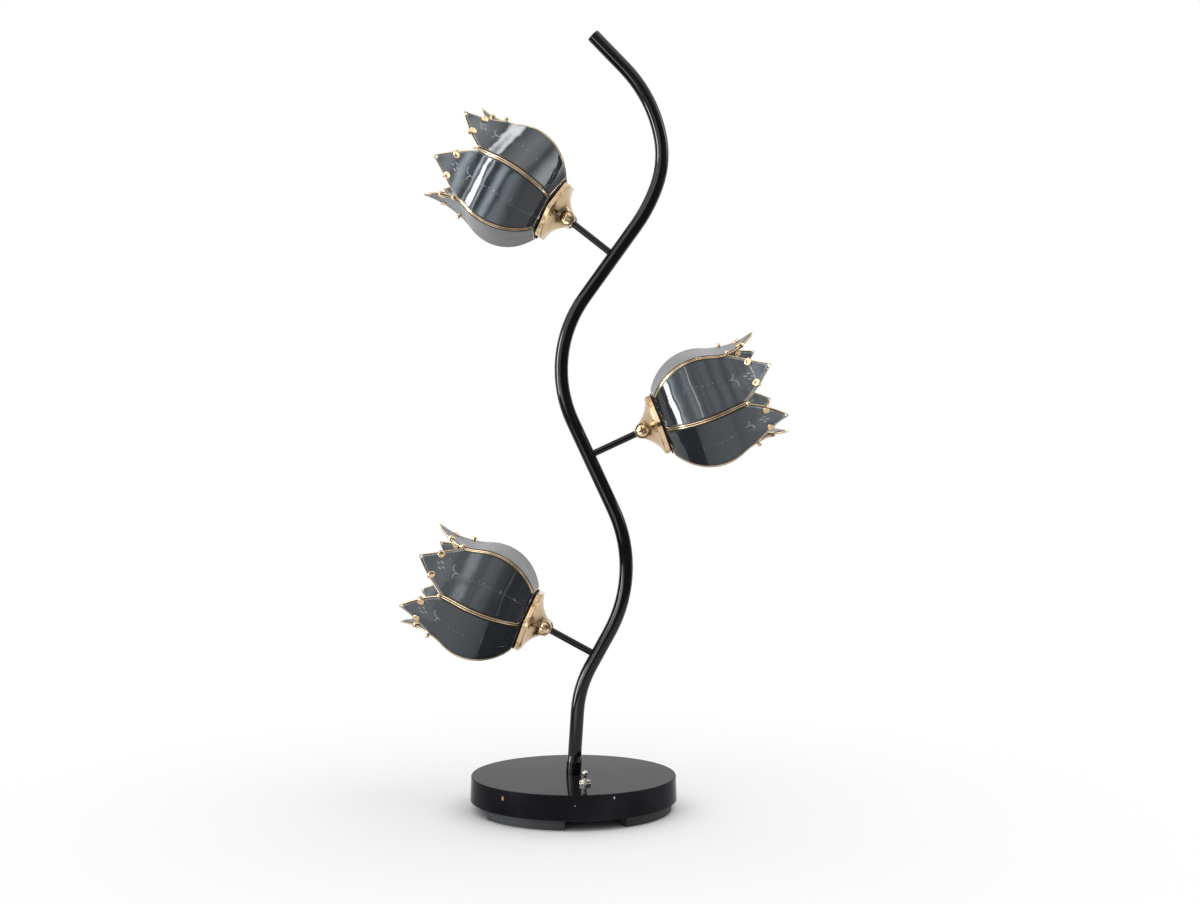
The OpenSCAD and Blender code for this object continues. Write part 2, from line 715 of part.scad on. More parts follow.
module petal_bend() {
    over = lap / flare_r * 180 / PI;
    union() {
        bend_plate(hub_1, bulb_r - glass_t, glass_t, plate_half, low_a, flare_start);
        bend_plate(hub_2, flare_r + lap_step, glass_t - 2 * lap_step, plate_half + 1,
            tip_b - tip_over / flare_r * 180 / PI, 180 + flare_start + over);
    }
}

module seam_wedge() {
    linear_extrude(height = beyond) polygon([
        [glass_seam / tan(30), 0],
        [beyond, beyond * tan(30) - glass_seam],
        [beyond, glass_seam - beyond * tan(30)]
    ]);
}

module tip_lens() {
    rotate([90, 0, 90]) linear_extrude(height = beyond) intersection() {
        translate(edge_hub) circle(r = edge_r - glass_in, $fn = 360);
        translate([-edge_hub[0], edge_hub[1]]) circle(r = edge_r - glass_in, $fn = 360);
        translate([-beyond / 2, 0]) square([beyond, tip_z - tip_short]);
    }
}

module petal(k, i) color(smoke, 0.8) at_petal(k, i) intersection() {
    petal_bend();
    seam_wedge();
    tip_lens();
}

module top_calyx() calyx(0);
module top_pivot_screw() pivot_screw(0);
module top_plate() plate(0);
module top_wires() wires(0);
module top_clips() clips(0);
module top_holder() holder(0);
module top_bulb() bulb(0);
module top_petal_1() petal(0, 0);
module top_petal_2() petal(0, 1);
module top_petal_3() petal(0, 2);
module top_petal_4() petal(0, 3);
module top_petal_5() petal(0, 4);
module top_petal_6() petal(0, 5);
module middle_calyx() calyx(1);
module middle_pivot_screw() pivot_screw(1);
module middle_plate() plate(1);
module middle_wires() wires(1);
module middle_clips() clips(1);
module middle_holder() holder(1);
module middle_bulb() bulb(1);
module middle_petal_1() petal(1, 0);
module middle_petal_2() petal(1, 1);
module middle_petal_3() petal(1, 2);
module middle_petal_4() petal(1, 3);
module middle_petal_5() petal(1, 4);
module middle_petal_6() petal(1, 5);
module bottom_calyx() calyx(2);
module bottom_pivot_screw() pivot_screw(2);
module bottom_plate() plate(2);
module bottom_wires() wires(2);
module bottom_clips() clips(2);
module bottom_holder() holder(2);
module bottom_bulb() bulb(2);
module bottom_petal_1() petal(2, 0);
module bottom_petal_2() petal(2, 1);
module bottom_petal_3() petal(2, 2);
module bottom_petal_4() petal(2, 3);
module bottom_petal_5() petal(2, 4);
module bottom_petal_6() petal(2, 5);

base_shell();
base_weight();
base_cover();
foot_ring();
cover_screws();
cord_bush();
stem();
stem_sleeve();
stem_washer();
stem_locknut();
stem_plug();
arm_top();
arm_middle();
arm_bottom();
switch_body();
switch_nut();
toggle_lever();
top_calyx();
top_pivot_screw();
top_plate();
top_wires();
top_clips();
top_holder();
top_bulb();
top_petal_1();
top_petal_2();
top_petal_3();
top_petal_4();
top_petal_5();
top_petal_6();
middle_calyx();
middle_pivot_screw();
middle_plate();
middle_wires();
middle_clips();
middle_holder();
middle_bulb();
middle_petal_1();
middle_petal_2();
middle_petal_3();
middle_petal_4();
middle_petal_5();
middle_petal_6();
bottom_calyx();
bottom_pivot_screw();
bottom_plate();
bottom_wires();
bottom_clips();
bottom_holder();
bottom_bulb();
bottom_petal_1();
bottom_petal_2();
bottom_petal_3();
bottom_petal_4();
bottom_petal_5();
bottom_petal_6();
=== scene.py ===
import json
import math

import bmesh
import bpy
from bpy.props import FloatProperty, FloatVectorProperty, IntProperty, PointerProperty
from bpy.types import Operator, Panel, PropertyGroup
from mathutils import Matrix, Vector

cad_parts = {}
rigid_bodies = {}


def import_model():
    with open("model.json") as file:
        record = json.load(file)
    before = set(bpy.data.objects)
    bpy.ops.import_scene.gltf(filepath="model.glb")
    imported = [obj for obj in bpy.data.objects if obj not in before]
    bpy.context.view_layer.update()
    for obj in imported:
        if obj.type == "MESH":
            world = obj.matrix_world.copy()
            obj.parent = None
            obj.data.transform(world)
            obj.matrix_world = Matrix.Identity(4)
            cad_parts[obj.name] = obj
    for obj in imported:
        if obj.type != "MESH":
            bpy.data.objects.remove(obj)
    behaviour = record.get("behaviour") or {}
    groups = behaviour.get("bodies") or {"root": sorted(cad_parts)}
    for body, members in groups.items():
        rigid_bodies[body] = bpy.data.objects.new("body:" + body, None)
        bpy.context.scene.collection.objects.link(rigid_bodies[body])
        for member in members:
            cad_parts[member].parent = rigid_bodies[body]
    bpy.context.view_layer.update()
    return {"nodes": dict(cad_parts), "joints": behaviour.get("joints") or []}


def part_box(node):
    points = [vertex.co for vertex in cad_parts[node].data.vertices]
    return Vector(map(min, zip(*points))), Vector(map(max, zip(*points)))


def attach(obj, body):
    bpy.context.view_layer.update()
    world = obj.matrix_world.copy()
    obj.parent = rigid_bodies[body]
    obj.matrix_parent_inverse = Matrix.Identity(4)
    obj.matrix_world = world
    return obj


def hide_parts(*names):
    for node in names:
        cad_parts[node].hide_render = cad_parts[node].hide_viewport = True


for spare in list(bpy.data.objects):
    bpy.data.objects.remove(spare, do_unlink=True)
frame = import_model()

bl_info = {
    "name": "Lotus table lamp",
    "version": (1, 0, 0),
    "blender": (4, 5, 0),
    "location": "3D View > Sidebar > Lotus lamp",
    "description": "Dresses the lotus lamp: petals, wire frames, clips, finishes and studio",
    "category": "Object",
}

HEADS = ("top", "middle", "bottom")
PETALS = 6                      # petals of one flower
SEAM = math.pi / PETALS         # half the angle between two petals
FIT = 0.00005                   # play between neighbouring pieces
MERGE = 1e-6                    # points that lie closer are one
CUT = 1e-7                      # points this near to a cutting plane lie on it
MM = 1000                       # millimetres in a metre
WHITE = (1.0, 1.0, 1.0)

# Facets of the bends, the tip edges, the clip discs and one flute of the nut
BELLY_STEPS, FLARE_STEPS = 26, 18
SEAM_STEPS, TIP_STEPS, EDGE_CUTS = 18, 10, 6
CLIP_STEPS, FLUTE_STEPS = 28, 4

# Finishes of a petal, in the order of its material slots; the last is painted shade along the seams
GLASS, GROUND, CUT_EDGE, CHAMFER, SEAM_SHADE = range(5)
PETAL_MAP = "petal_mm"          # the petal's map: millimetres to the side and down from the tip
PATTERN_MIDDLE = 40             # millimetres from the tip, where the pattern turns
PATTERN_SKEW = math.radians(7)  # how far the pattern turns from petal to petal
FACE_ON, EDGE_ON = 0.9, 0.5     # how squarely glass faces, and how little cut edges face, out of the bend

# Pressed clip disc from its middle to its rim: share of the radius, height in millimetres
CLIP_DISH = ((0.0, 0.34), (0.30, 0.36), (0.52, 0.62), (0.76, 0.84), (0.93, 0.62), (1.0, 0.2), (0.98, 0.0),
             (0.0, 0.0))


# Sizes and colours

def size(name, text, value):
    return FloatProperty(name=name, description=text, default=value, unit="LENGTH", precision=5)


def angle(name, text, degrees):
    return FloatProperty(name=name, description=text, default=math.radians(degrees), subtype="ANGLE")


def colour(name, text, value):
    return FloatVectorProperty(name=name, description=text, default=value, size=3, min=0, max=1,
                               subtype="COLOR")


def share(name, text, value):
    return FloatProperty(name=name, description=text, default=value, min=0, max=1, subtype="FACTOR")


class LotusFlower(PropertyGroup):
    """Sizes of one flower, measured from its tilt pivot."""
    glass_t: size("Glass", "Thickness of the petal glass", 0.0024)
    belly_r: size("Belly bend", "Outer bend radius of the petal's belly", 0.0501)
    belly_z: size("Belly height", "Height of the belly's bend centre above the pivot", 0.062)
    petal_foot: size("Petal foot", "Distance of the petal foot from the flower's axis", 0.0293)
    flare_start: angle("Flare start", "Angle at which the belly turns into the flare", 21.8)
    flare_r: size("Flare bend", "Outer bend radius of the flare", 0.054)
    tip_z: size("Tip height", "Height of the petal tip above the pivot", 0.1294)
    shoulder_z: size("Shoulder height", "Height at which the tip edges start", 0.0928)
    shoulder_w: size("Shoulder width", "Half width of the petal at the shoulder", 0.0268)
    edge_r: size("Tip edge", "Radius of the curved tip edges", 0.3)
    wire_d: size("Wire", "Diameter of the frame wire", 0.0018)
    wire_shown: size("Wire as shown", "Diameter the wire is shown at, so that a pair keeps its gap", 0.00115)
    wire_bend: size("Wire bend", "How far the corners of the wire frame are rounded", 0.0013)
    # The seam band is painted shade: a near-black band on the glass where the gap beside the wire lies in
    # shadow
    seam_gap: size("Seam gap", "Dark gap between wire and glass along the seams", 0.0004)
    seam_shade_band: size("Seam band", "Width of the band of painted shade on the glass along the seams", 0.001)
    chamfer: size("Chamfer", "Polished chamfer of the glass edges", 0.00045)
    tip_short: size("Tip short", "How far the blunt glass tip stays below the wire tip", 0.0052)
    plate_top: size("Plate top", "Top of the petal plate above the pivot", 0.01965)
    plate_t: size("Plate", "Thickness of the petal plate", 0.0022)
    plate_rim: size("Plate rim", "Thickness of the plate's wider upper step", 0.001)
    plate_neck: size("Plate neck", "Distance of the lower step's flats from the axis", 0.024)
    plate_in: size("Plate inset", "How far the plate stays inside the petal feet", 0.0014)
    plate_corner: size("Plate corner", "How far the plate's corners are cut", 0.004)
    plate_ease: size("Plate edge", "Chamfer of the plate's edges", 0.0001)
    nipple_d: size("Nipple", "Diameter of the hole for the hollow nipple", 0.01)
    clip_d: size("Clip", "Diameter of the clip discs", 0.007)
    clip_z: size("Clip height", "Height of the clips above the pivot", 0.112)
    strap_w: size("Strap", "Width of the strap that joins two clip discs", 0.0026)
    strap_t: size("Strap sheet", "Thickness of the strap", 0.0005)
    strap_over: size("Strap reach", "How far the strap reaches past the feet of the discs", 0.0011)
    strap_ease: size("Strap edge", "Rounding of the strap's edges", 0.00018)
    bead_d: size("Bead", "Diameter of the seam beads", 0.004)
    ground_tip: size("Ground tip", "Width of the ground band along the tip edges", 0.0014)


class LotusSwitch(PropertyGroup):
    """Sizes of the switch's dress nut."""
    lower_d: size("Lower ring", "Diameter of the nut's lower ring", 0.0106)
    upper_d: size("Upper ring", "Diameter of the nut's upper ring", 0.0103)
    neck_d: size("Groove", "Diameter of the groove between the rings", 0.0094)
    bore_d: size("Bore", "Diameter of the bore on the threaded bush", 0.0078)
    lower_h: size("Lower height", "Height of the lower ring", 0.0013)
    neck_h: size("Groove height", "Height at which the upper ring starts", 0.0018)
    nut_h: size("Nut height", "Height of the whole nut", 0.0032)
    ease: size("Eased edge", "Chamfer on the edges of the rings", 0.0002)
    flute: size("Flute", "Depth of the knurl's flutes", 0.00022)
    flutes: IntProperty(name="Flutes", description="Number of flutes around the nut", default=34, min=8)


class LotusFinish(PropertyGroup):
    """Colours and gloss of the lamp's finishes."""
    lacquer: colour("Lacquer", "Black stove lacquer of stem, arms and base", (0.0025, 0.0025, 0.003))
    glass: colour("Smoked glass", "Grey glass of the petals", (0.041, 0.048, 0.056))
    ground: colour("Ground glass", "Frosted edge of the petals", (0.36, 0.39, 0.39))
    brass: colour("Brass", "Bright brass of wires and clips", (0.71, 0.51, 0.31))
    tarnish: colour("Tarnish", "Darkened patches of the brass", (0.30, 0.17, 0.08))
    cast: colour("Cast brass", "Satin brass of the calyx", (0.55, 0.40, 0.235))
    nickel: colour("Nickel", "Warm nickel of the switch", (0.66, 0.60, 0.51))
    rubber: colour("Moulding", "Matte black of the feet", (0.028, 0.028, 0.029))
    density: share("Glass body", "How much of the light the smoked glass stops", 0.84)


# Shader maths

class Flow:
    """One output of a shader node that plain expressions work on."""

    def __init__(self, finish, socket):
        self.finish = finish
        self.socket = socket

    def maths(self, operation, *others):
        inputs = dict(enumerate(others))
        return self.finish.node("ShaderNodeMath", {"operation": operation}, inputs)[0]

    def __add__(self, other):
        return self.maths("ADD", self, other)

    def __radd__(self, other):
        return self.maths("ADD", other, self)

    def __sub__(self, other):
        return self.maths("SUBTRACT", self, other)

    def __rsub__(self, other):
        return self.maths("SUBTRACT", other, self)

    def __mul__(self, other):
        return self.maths("MULTIPLY", self, other)

    def __rmul__(self, other):
        return self.maths("MULTIPLY", other, self)

    def __truediv__(self, other):
        return self.maths("DIVIDE", self, other)

    def __pow__(self, other):
        return self.maths("POWER", self, other)

    def __abs__(self):
        return self.maths("ABSOLUTE", self)

    def least(self, other):
        return self.maths("MINIMUM", self, other)

    def most(self, other):
        return self.maths("MAXIMUM", self, other)

    def sine(self):
        return self.maths("SINE", self)

    def ease(self, low, high):
        """0 below low and 1 above high, smooth between; low may be the larger one."""
        values = {"Value": self, "From Min": low, "From Max": high, "To Min": 0.0, "To Max": 1.0}
        return self.finish.node("ShaderNodeMapRange", {"interpolation_type": "SMOOTHSTEP"}, values)[0]


class Outputs:
    """The outputs of one node, by name or number."""

    def __init__(self, finish, node):
        self.finish = finish
        self.node = node

    def __getitem__(self, key):
        return Flow(self.finish, self.node.outputs[key])


class Finish:
    """One procedural material, light or world, built node by node."""

    def __init__(self, owner):
        owner.use_nodes = True
        self.tree = owner.node_tree
        self.tree.nodes.clear()

    def node(self, kind, settings=None, values=None):
        made = self.tree.nodes.new(kind)
        for key, value in (settings or {}).items():
            setattr(made, key, value)
        for key, value in (values or {}).items():
            if isinstance(value, Flow):
                self.tree.links.new(value.socket, made.inputs[key])
            else:
                made.inputs[key].default_value = value
        return Outputs(self, made)

    def place(self):
        return self.node("ShaderNodeTexCoord")["Object"]

    def parts(self, vector):
        return self.node("ShaderNodeSeparateXYZ", None, {0: vector})

    def vector(self, operation, *inputs):
        """Vector maths; a length or a dot product comes out as a value."""
        made = self.node("ShaderNodeVectorMath", {"operation": operation}, dict(enumerate(inputs)))
        return made["Value" if operation in ("LENGTH", "DOT_PRODUCT") else "Vector"]

    def noise(self, where, scale, detail=3.0, rough=0.55):
        values = {"Vector": where, "Scale": scale, "Detail": detail, "Roughness": rough}
        return self.node("ShaderNodeTexNoise", None, values)["Fac"]

    def stretch(self, where, scale):
        return self.node("ShaderNodeMapping", None, {"Vector": where, "Scale": scale})[0]

    def mix(self, amount, first, second):
        """Mixes two colours, which the Mix node takes at 6 and 7 and gives out at 2."""
        first, second = [c if isinstance(c, Flow) else (*c, 1.0) for c in (first, second)]
        values = {"Factor": amount, 6: first, 7: second}
        return self.node("ShaderNodeMix", {"data_type": "RGBA"}, values)[2]

    def bump(self, height, strength, distance, normal=None):
        values = {"Height": height, "Strength": strength, "Distance": distance}
        if normal is not None:
            values["Normal"] = normal
        return self.node("ShaderNodeBump", None, values)["Normal"]

    def worn_edge(self, radius):
        return self.node("ShaderNodeBevel", {"samples": 6}, {"Radius": radius})["Normal"]

    def surface(self, values):
        shader = self.node("ShaderNodeBsdfPrincipled", None, values)[0]
        self.node("ShaderNodeOutputMaterial", None, {"Surface": shader})


def toned(tint, level=1.0):
    """A colour, made lighter or darker by a level."""
    return tuple(level * part for part in tint)


# Finishes

# Chips in the lacquer of the base: place from the middle of its foot, and how steeply each one ends
CHIPS = (
    ((-0.0617, -0.0728, 0.0242), (700, 700, 420)),
    ((0.0372, -0.0879, 0.0279), (1300, 1300, 800)),
    ((0.0027, -0.0954, 0.0225), (1500, 1500, 2600)),
)
# Indices below that of real lacquer, so that it mirrors the white backdrop as dimly as in the photograph
BASE_INDEX, STEM_INDEX = 1.08, 1.38
# The base's lift is a painted sheen: its black lacquer is made lighter to stand in for light its wall
# mirrors
BASE_SHEEN_LIFT = 4.4                     # how much lighter the lacquer of the base is
CHIP_BROWN, CHIP_PALE = (0.50, 0.33, 0.13), (0.72, 0.72, 0.70)
RUB_STRETCH = (900.0, 900.0, 160.0)
CALYX_RIM = (0.0128, 0.0136)        # height above the pivot over which the polished rim starts
# Where the painted shade, with tarnish, around the screw's seat begins, as a distance from the screw's axis
CALYX_SEAT_SHADE = (0.0072, 0.0062)     # distance from the screw's axis over which the dark hollow starts
# The second colour is painted shade for the glass near the petal's foot
ETCHED, PAINTED_FOOT_SHADE = (0.42, 0.43, 0.43), (0.006, 0.007, 0.008)


def stand_x():
    """Where the axis of the base stands."""
    low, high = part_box("base_shell")
    return (low.x + high.x) / 2


def material(name):
    """A material of this lamp, and its finish to build unless it is there already."""
    name = "lotus_" + name
    found = bpy.data.materials.get(name)
    if found:
        return found, None
    made = bpy.data.materials.new(name)
    return made, Finish(made)


def lacquer_finish(name, ior, body=1.0):
    """Glossy black lacquer with smudges, a faint orange peel and a few chips on the base wall."""
    made, m = material(name)
    if m is None:
        return made
    # A body above 1 lightens the black as a painted sheen
    black = toned(bpy.context.scene.lotus_finish.lacquer, body)
    where = m.place()
    smudge = m.noise(where, scale=21.0, detail=4.0)
    peel = m.noise(where, scale=420.0, detail=2.0)
    ragged = m.noise(where, scale=900.0, detail=2.0)
    axis_x = stand_x()
    chips = 0.0
    for (x, y, z), steep in CHIPS:
        moved = m.vector("SUBTRACT", where, (axis_x + x, y, z))
        reach = m.vector("LENGTH", m.vector("MULTIPLY", moved, steep))
        chips = (reach + 0.9 * (ragged - 0.5)).ease(1.05, 0.8).most(chips)
    right = m.parts(where)[0].ease(axis_x - 0.03, axis_x + 0.01)
    bare = m.mix(right, CHIP_BROWN, CHIP_PALE)
    film = m.mix(smudge.ease(0.35, 0.8), black, toned(black, 2.1))
    normal = m.bump(peel, strength=0.004, distance=0.0004, normal=m.worn_edge(0.0005))
    m.surface({
        "Base Color": m.mix(chips, film, bare),
        "Roughness": 0.035 + 0.05 * smudge + 0.4 * chips,
        "IOR": ior,
        "Normal": m.bump(1 - chips, strength=0.4, distance=0.0003, normal=normal),
    })
    return made


def brass_finish(name, bright, rough):
    """Bright brass with tarnished patches and fine rubbing marks."""
    made, m = material(name)
    if m is None:
        return made
    tints = bpy.context.scene.lotus_finish
    where = m.place()
    stain = m.noise(where, scale=55.0, detail=5.0, rough=0.65).ease(0.46, 0.78)
    rub = m.noise(m.stretch(where, RUB_STRETCH), scale=1.0, detail=2.0)
    m.surface({
        "Base Color": m.mix(0.55 * stain, toned(bright), toned(tints.tarnish)),
        "Metallic": 1.0,
        "Roughness": rough + 0.16 * stain + 0.06 * rub,
        "Normal": m.bump(rub, strength=0.06, distance=0.0002, normal=m.worn_edge(0.0003)),
    })
    return made


def calyx_finish(name, head):
    """Cast brass: satin on the trumpet, with painted shade and tarnish around the screw, and polished on the
    rim, whose brown patches are tarnish and painted reflection.
    """
    made, m = material(name)
    if m is None:
        return made
    tints = bpy.context.scene.lotus_finish
    where = m.place()
    moved = m.vector("SUBTRACT", where, tuple(head.pivot))
    rim = m.vector("DOT_PRODUCT", moved, tuple(head.ahead)).ease(*CALYX_RIM)
    off_screw = m.vector("LENGTH", m.vector("CROSS_PRODUCT", moved, tuple(head.across)))
    patch = m.noise(where, scale=70.0, detail=5.0, rough=0.65)
    grain = m.noise(where, scale=650.0, detail=2.0)
    wave = m.noise(where, scale=130.0, detail=1.5)
    stain = patch.ease(0.45, 0.8)
    # Painted shade with tarnish: the brass darkens towards the screw's seat, where the recess lies in shadow
    seat_shade_and_tarnish = (off_screw + 0.0016 * (patch - 0.5)).ease(*CALYX_SEAT_SHADE)
    body = m.mix(0.5 * stain, toned(tints.cast), toned(tints.tarnish))
    body = m.mix(0.5 * seat_shade_and_tarnish, body, toned(tints.tarnish, 0.35))
    # Brown patches on the polished rim: tarnish that also stands in as painted brown reflection
    rim_tarnish_and_reflection = m.mix(0.8 * patch.ease(0.5, 0.62), toned(tints.brass), toned(tints.tarnish))
    normal = m.bump(wave, strength=0.25, distance=0.0012, normal=m.worn_edge(0.0005))
    m.surface({
        "Base Color": m.mix(rim, body, rim_tarnish_and_reflection),
        "Metallic": 1.0,
        "Roughness": 0.19 + 0.14 * stain - 0.09 * rim + 0.05 * grain,
        "Normal": m.bump(grain, strength=0.06, distance=0.0002, normal=normal),
    })
    return made


def etched_sprig(side, down, wobble):
    """Four dots, two leaves, a broken trail and a bud, drawn in millimetres on the petal's own map."""
    dots_at, dot_w, dot_l = 22.0, 0.85, 1.95
    near = abs(down - dots_at)
    wide = abs(side + 0.25 * (down - dots_at).least(5.0).most(-5.0))
    dots = 0.0
    for across, along in ((0.0, 3.1), (2.9, 0.0)):
        reach = (((wide - across) / dot_w) ** 2.0 + ((near - along) / dot_l) ** 2.0) ** 0.5
        dots = (reach + 1.6 * wobble).ease(1.2, 0.6).most(dots)
    leaves = 0.0
    for hand, turn, bend in ((1.0, 37.5, 4.6), (-1.0, 40.0, 3.8)):
        out = hand * side
        ring = ((out - bend) ** 2.0 + (down - turn) ** 2.0) ** 0.5
        stroke = (abs(ring - bend) + 0.5 * wobble).ease(0.62, 0.3)
        stroke = stroke * out.ease(-0.4, 0.2) * out.ease(1.5 * bend, 1.3 * bend)
        leaves = (stroke * down.ease(turn + 1.5, turn + 0.5)).most(leaves)
    sway = 1.3 * (0.22 * down).sine()
    trail = (abs(side - sway) + 0.6 * wobble).ease(0.55, 0.2) * (1.25 * down).sine().ease(0.0, 0.5)
    trail = trail * down.ease(47.0, 49.0) * down.ease(74.0, 70.0)
    bud_x, bud_at, bud_w, bud_l = 1.0, 84.0, 2.4, 0.9
    bud = (((side - bud_x) / bud_w) ** 2.0 + ((down - bud_at) / bud_l) ** 2.0) ** 0.5
    bud = (bud + wobble).ease(1.2, 0.6)
    return (0.9 * dots).most(0.8 * leaves).most(0.45 * trail).most(0.25 * bud)


def glass_finish():
    """Smoked glass with an etched sprig, with painted light that makes it lighter towards the tip and
    painted shade that makes it darker towards the foot.
    """
    made, m = material("smoked_glass")
    if m is None:
        return made
    tints = bpy.context.scene.lotus_finish
    where = m.place()
    sheet = m.parts(m.node("ShaderNodeUVMap", {"uv_map": PETAL_MAP})[0])
    side, down = sheet[0], sheet[1]
    etched = etched_sprig(side, down, m.noise(where, scale=260.0, detail=2.0) - 0.5)
    body = m.mix(m.noise(where, scale=14.0), toned(tints.glass), toned(tints.glass, 1.3))
    # Painted shade: darker towards the petal's foot
    body = m.mix(0.5 * down.ease(62.0, 92.0), body, PAINTED_FOOT_SHADE)
    # Painted light: lighter towards the tip, as if lit through from behind
    body = m.mix(0.85 * down.ease(46.0, 6.0), body, toned(tints.glass, 2.3))
    haze = m.noise(where, scale=33.0, detail=4.0).ease(0.5, 0.85)
    slump = m.noise(where, scale=34.0, detail=1.5)
    m.surface({
        "Base Color": m.mix(0.85 * etched, body, ETCHED),
        "Roughness": 0.025 + 0.06 * haze + 0.4 * etched,
        "IOR": 1.52,
        "Alpha": tints.density,
        "Normal": m.bump(slump, strength=0.15, distance=0.004),
    })
    return made


def ground_finish():
    """Frosted ground edge of the glass."""
    made, m = material("ground_glass")
    if m is None:
        return made
    frost = bpy.context.scene.lotus_finish.ground
    where = m.place()
    grit = m.noise(where, scale=1500.0, detail=2.0)
    worn = m.noise(where, scale=90.0).ease(0.35, 0.7)
    m.surface({
        "Base Color": m.mix(worn, toned(frost, 0.45), toned(frost)),
        "Roughness": 0.3 + 0.2 * grit,
        "Normal": m.bump(grit, strength=0.15, distance=0.0001),
    })
    return made


def plain_finish(name, first, second, rough, metallic=0.0, grain=500.0, depth=0.08, ior=1.45):
    """A finish of two near tones with its own grain, for mouldings, metal, cut glass, holders and bulbs, and
    for the painted shade of the seams and the petal plate.
    """
    made, m = material(name)
    if m is None:
        return made
    where = m.place()
    tone = m.noise(where, scale=45.0, detail=4.0)
    fine = m.noise(where, scale=grain, detail=2.0)
    m.surface({
        "Base Color": m.mix(tone.ease(0.3, 0.75), first, second),
        "Metallic": metallic,
        "IOR": ior,
        "Roughness": rough + 0.14 * tone + 0.08 * fine,
        "Normal": m.bump(fine, strength=depth, distance=0.0002, normal=m.worn_edge(0.0004)),
    })
    return made


# Flower geometry

class Head:
    """Where one flower stands: its pivot, its axis and the turn of its first petal."""

    def __init__(self, name):
        self.body = "head_" + name
        joint = next(j for j in frame["joints"] if j["child"] == self.body)
        self.pivot = Vector(joint["pos_m"])
        across = Vector(joint["axis"]).normalized()
        self.across = across if across.y > 0 else -across
        ahead = middle_of(name + "_bulb") - self.pivot
        self.ahead = (ahead - ahead.dot(self.across) * self.across).normalized()
        up = self.across.cross(self.ahead)
        turned = Matrix((up, self.across, self.ahead)).transposed().to_4x4()
        self.matrix = Matrix.Translation(self.pivot) @ turned
        first = self.matrix.inverted() @ middle_of(name + "_petal_1")
        self.turn = math.atan2(first.y, first.x)

    def petal(self, number):
        return self.matrix @ Matrix.Rotation(self.turn + 2 * SEAM * number, 4, "Z")


def middle_of(node):
    """Middle of a CAD node's surface."""
    faces = frame["nodes"][node].data.polygons
    whole = sum(face.area for face in faces)
    return sum((face.area * face.center for face in faces), Vector()) / whole


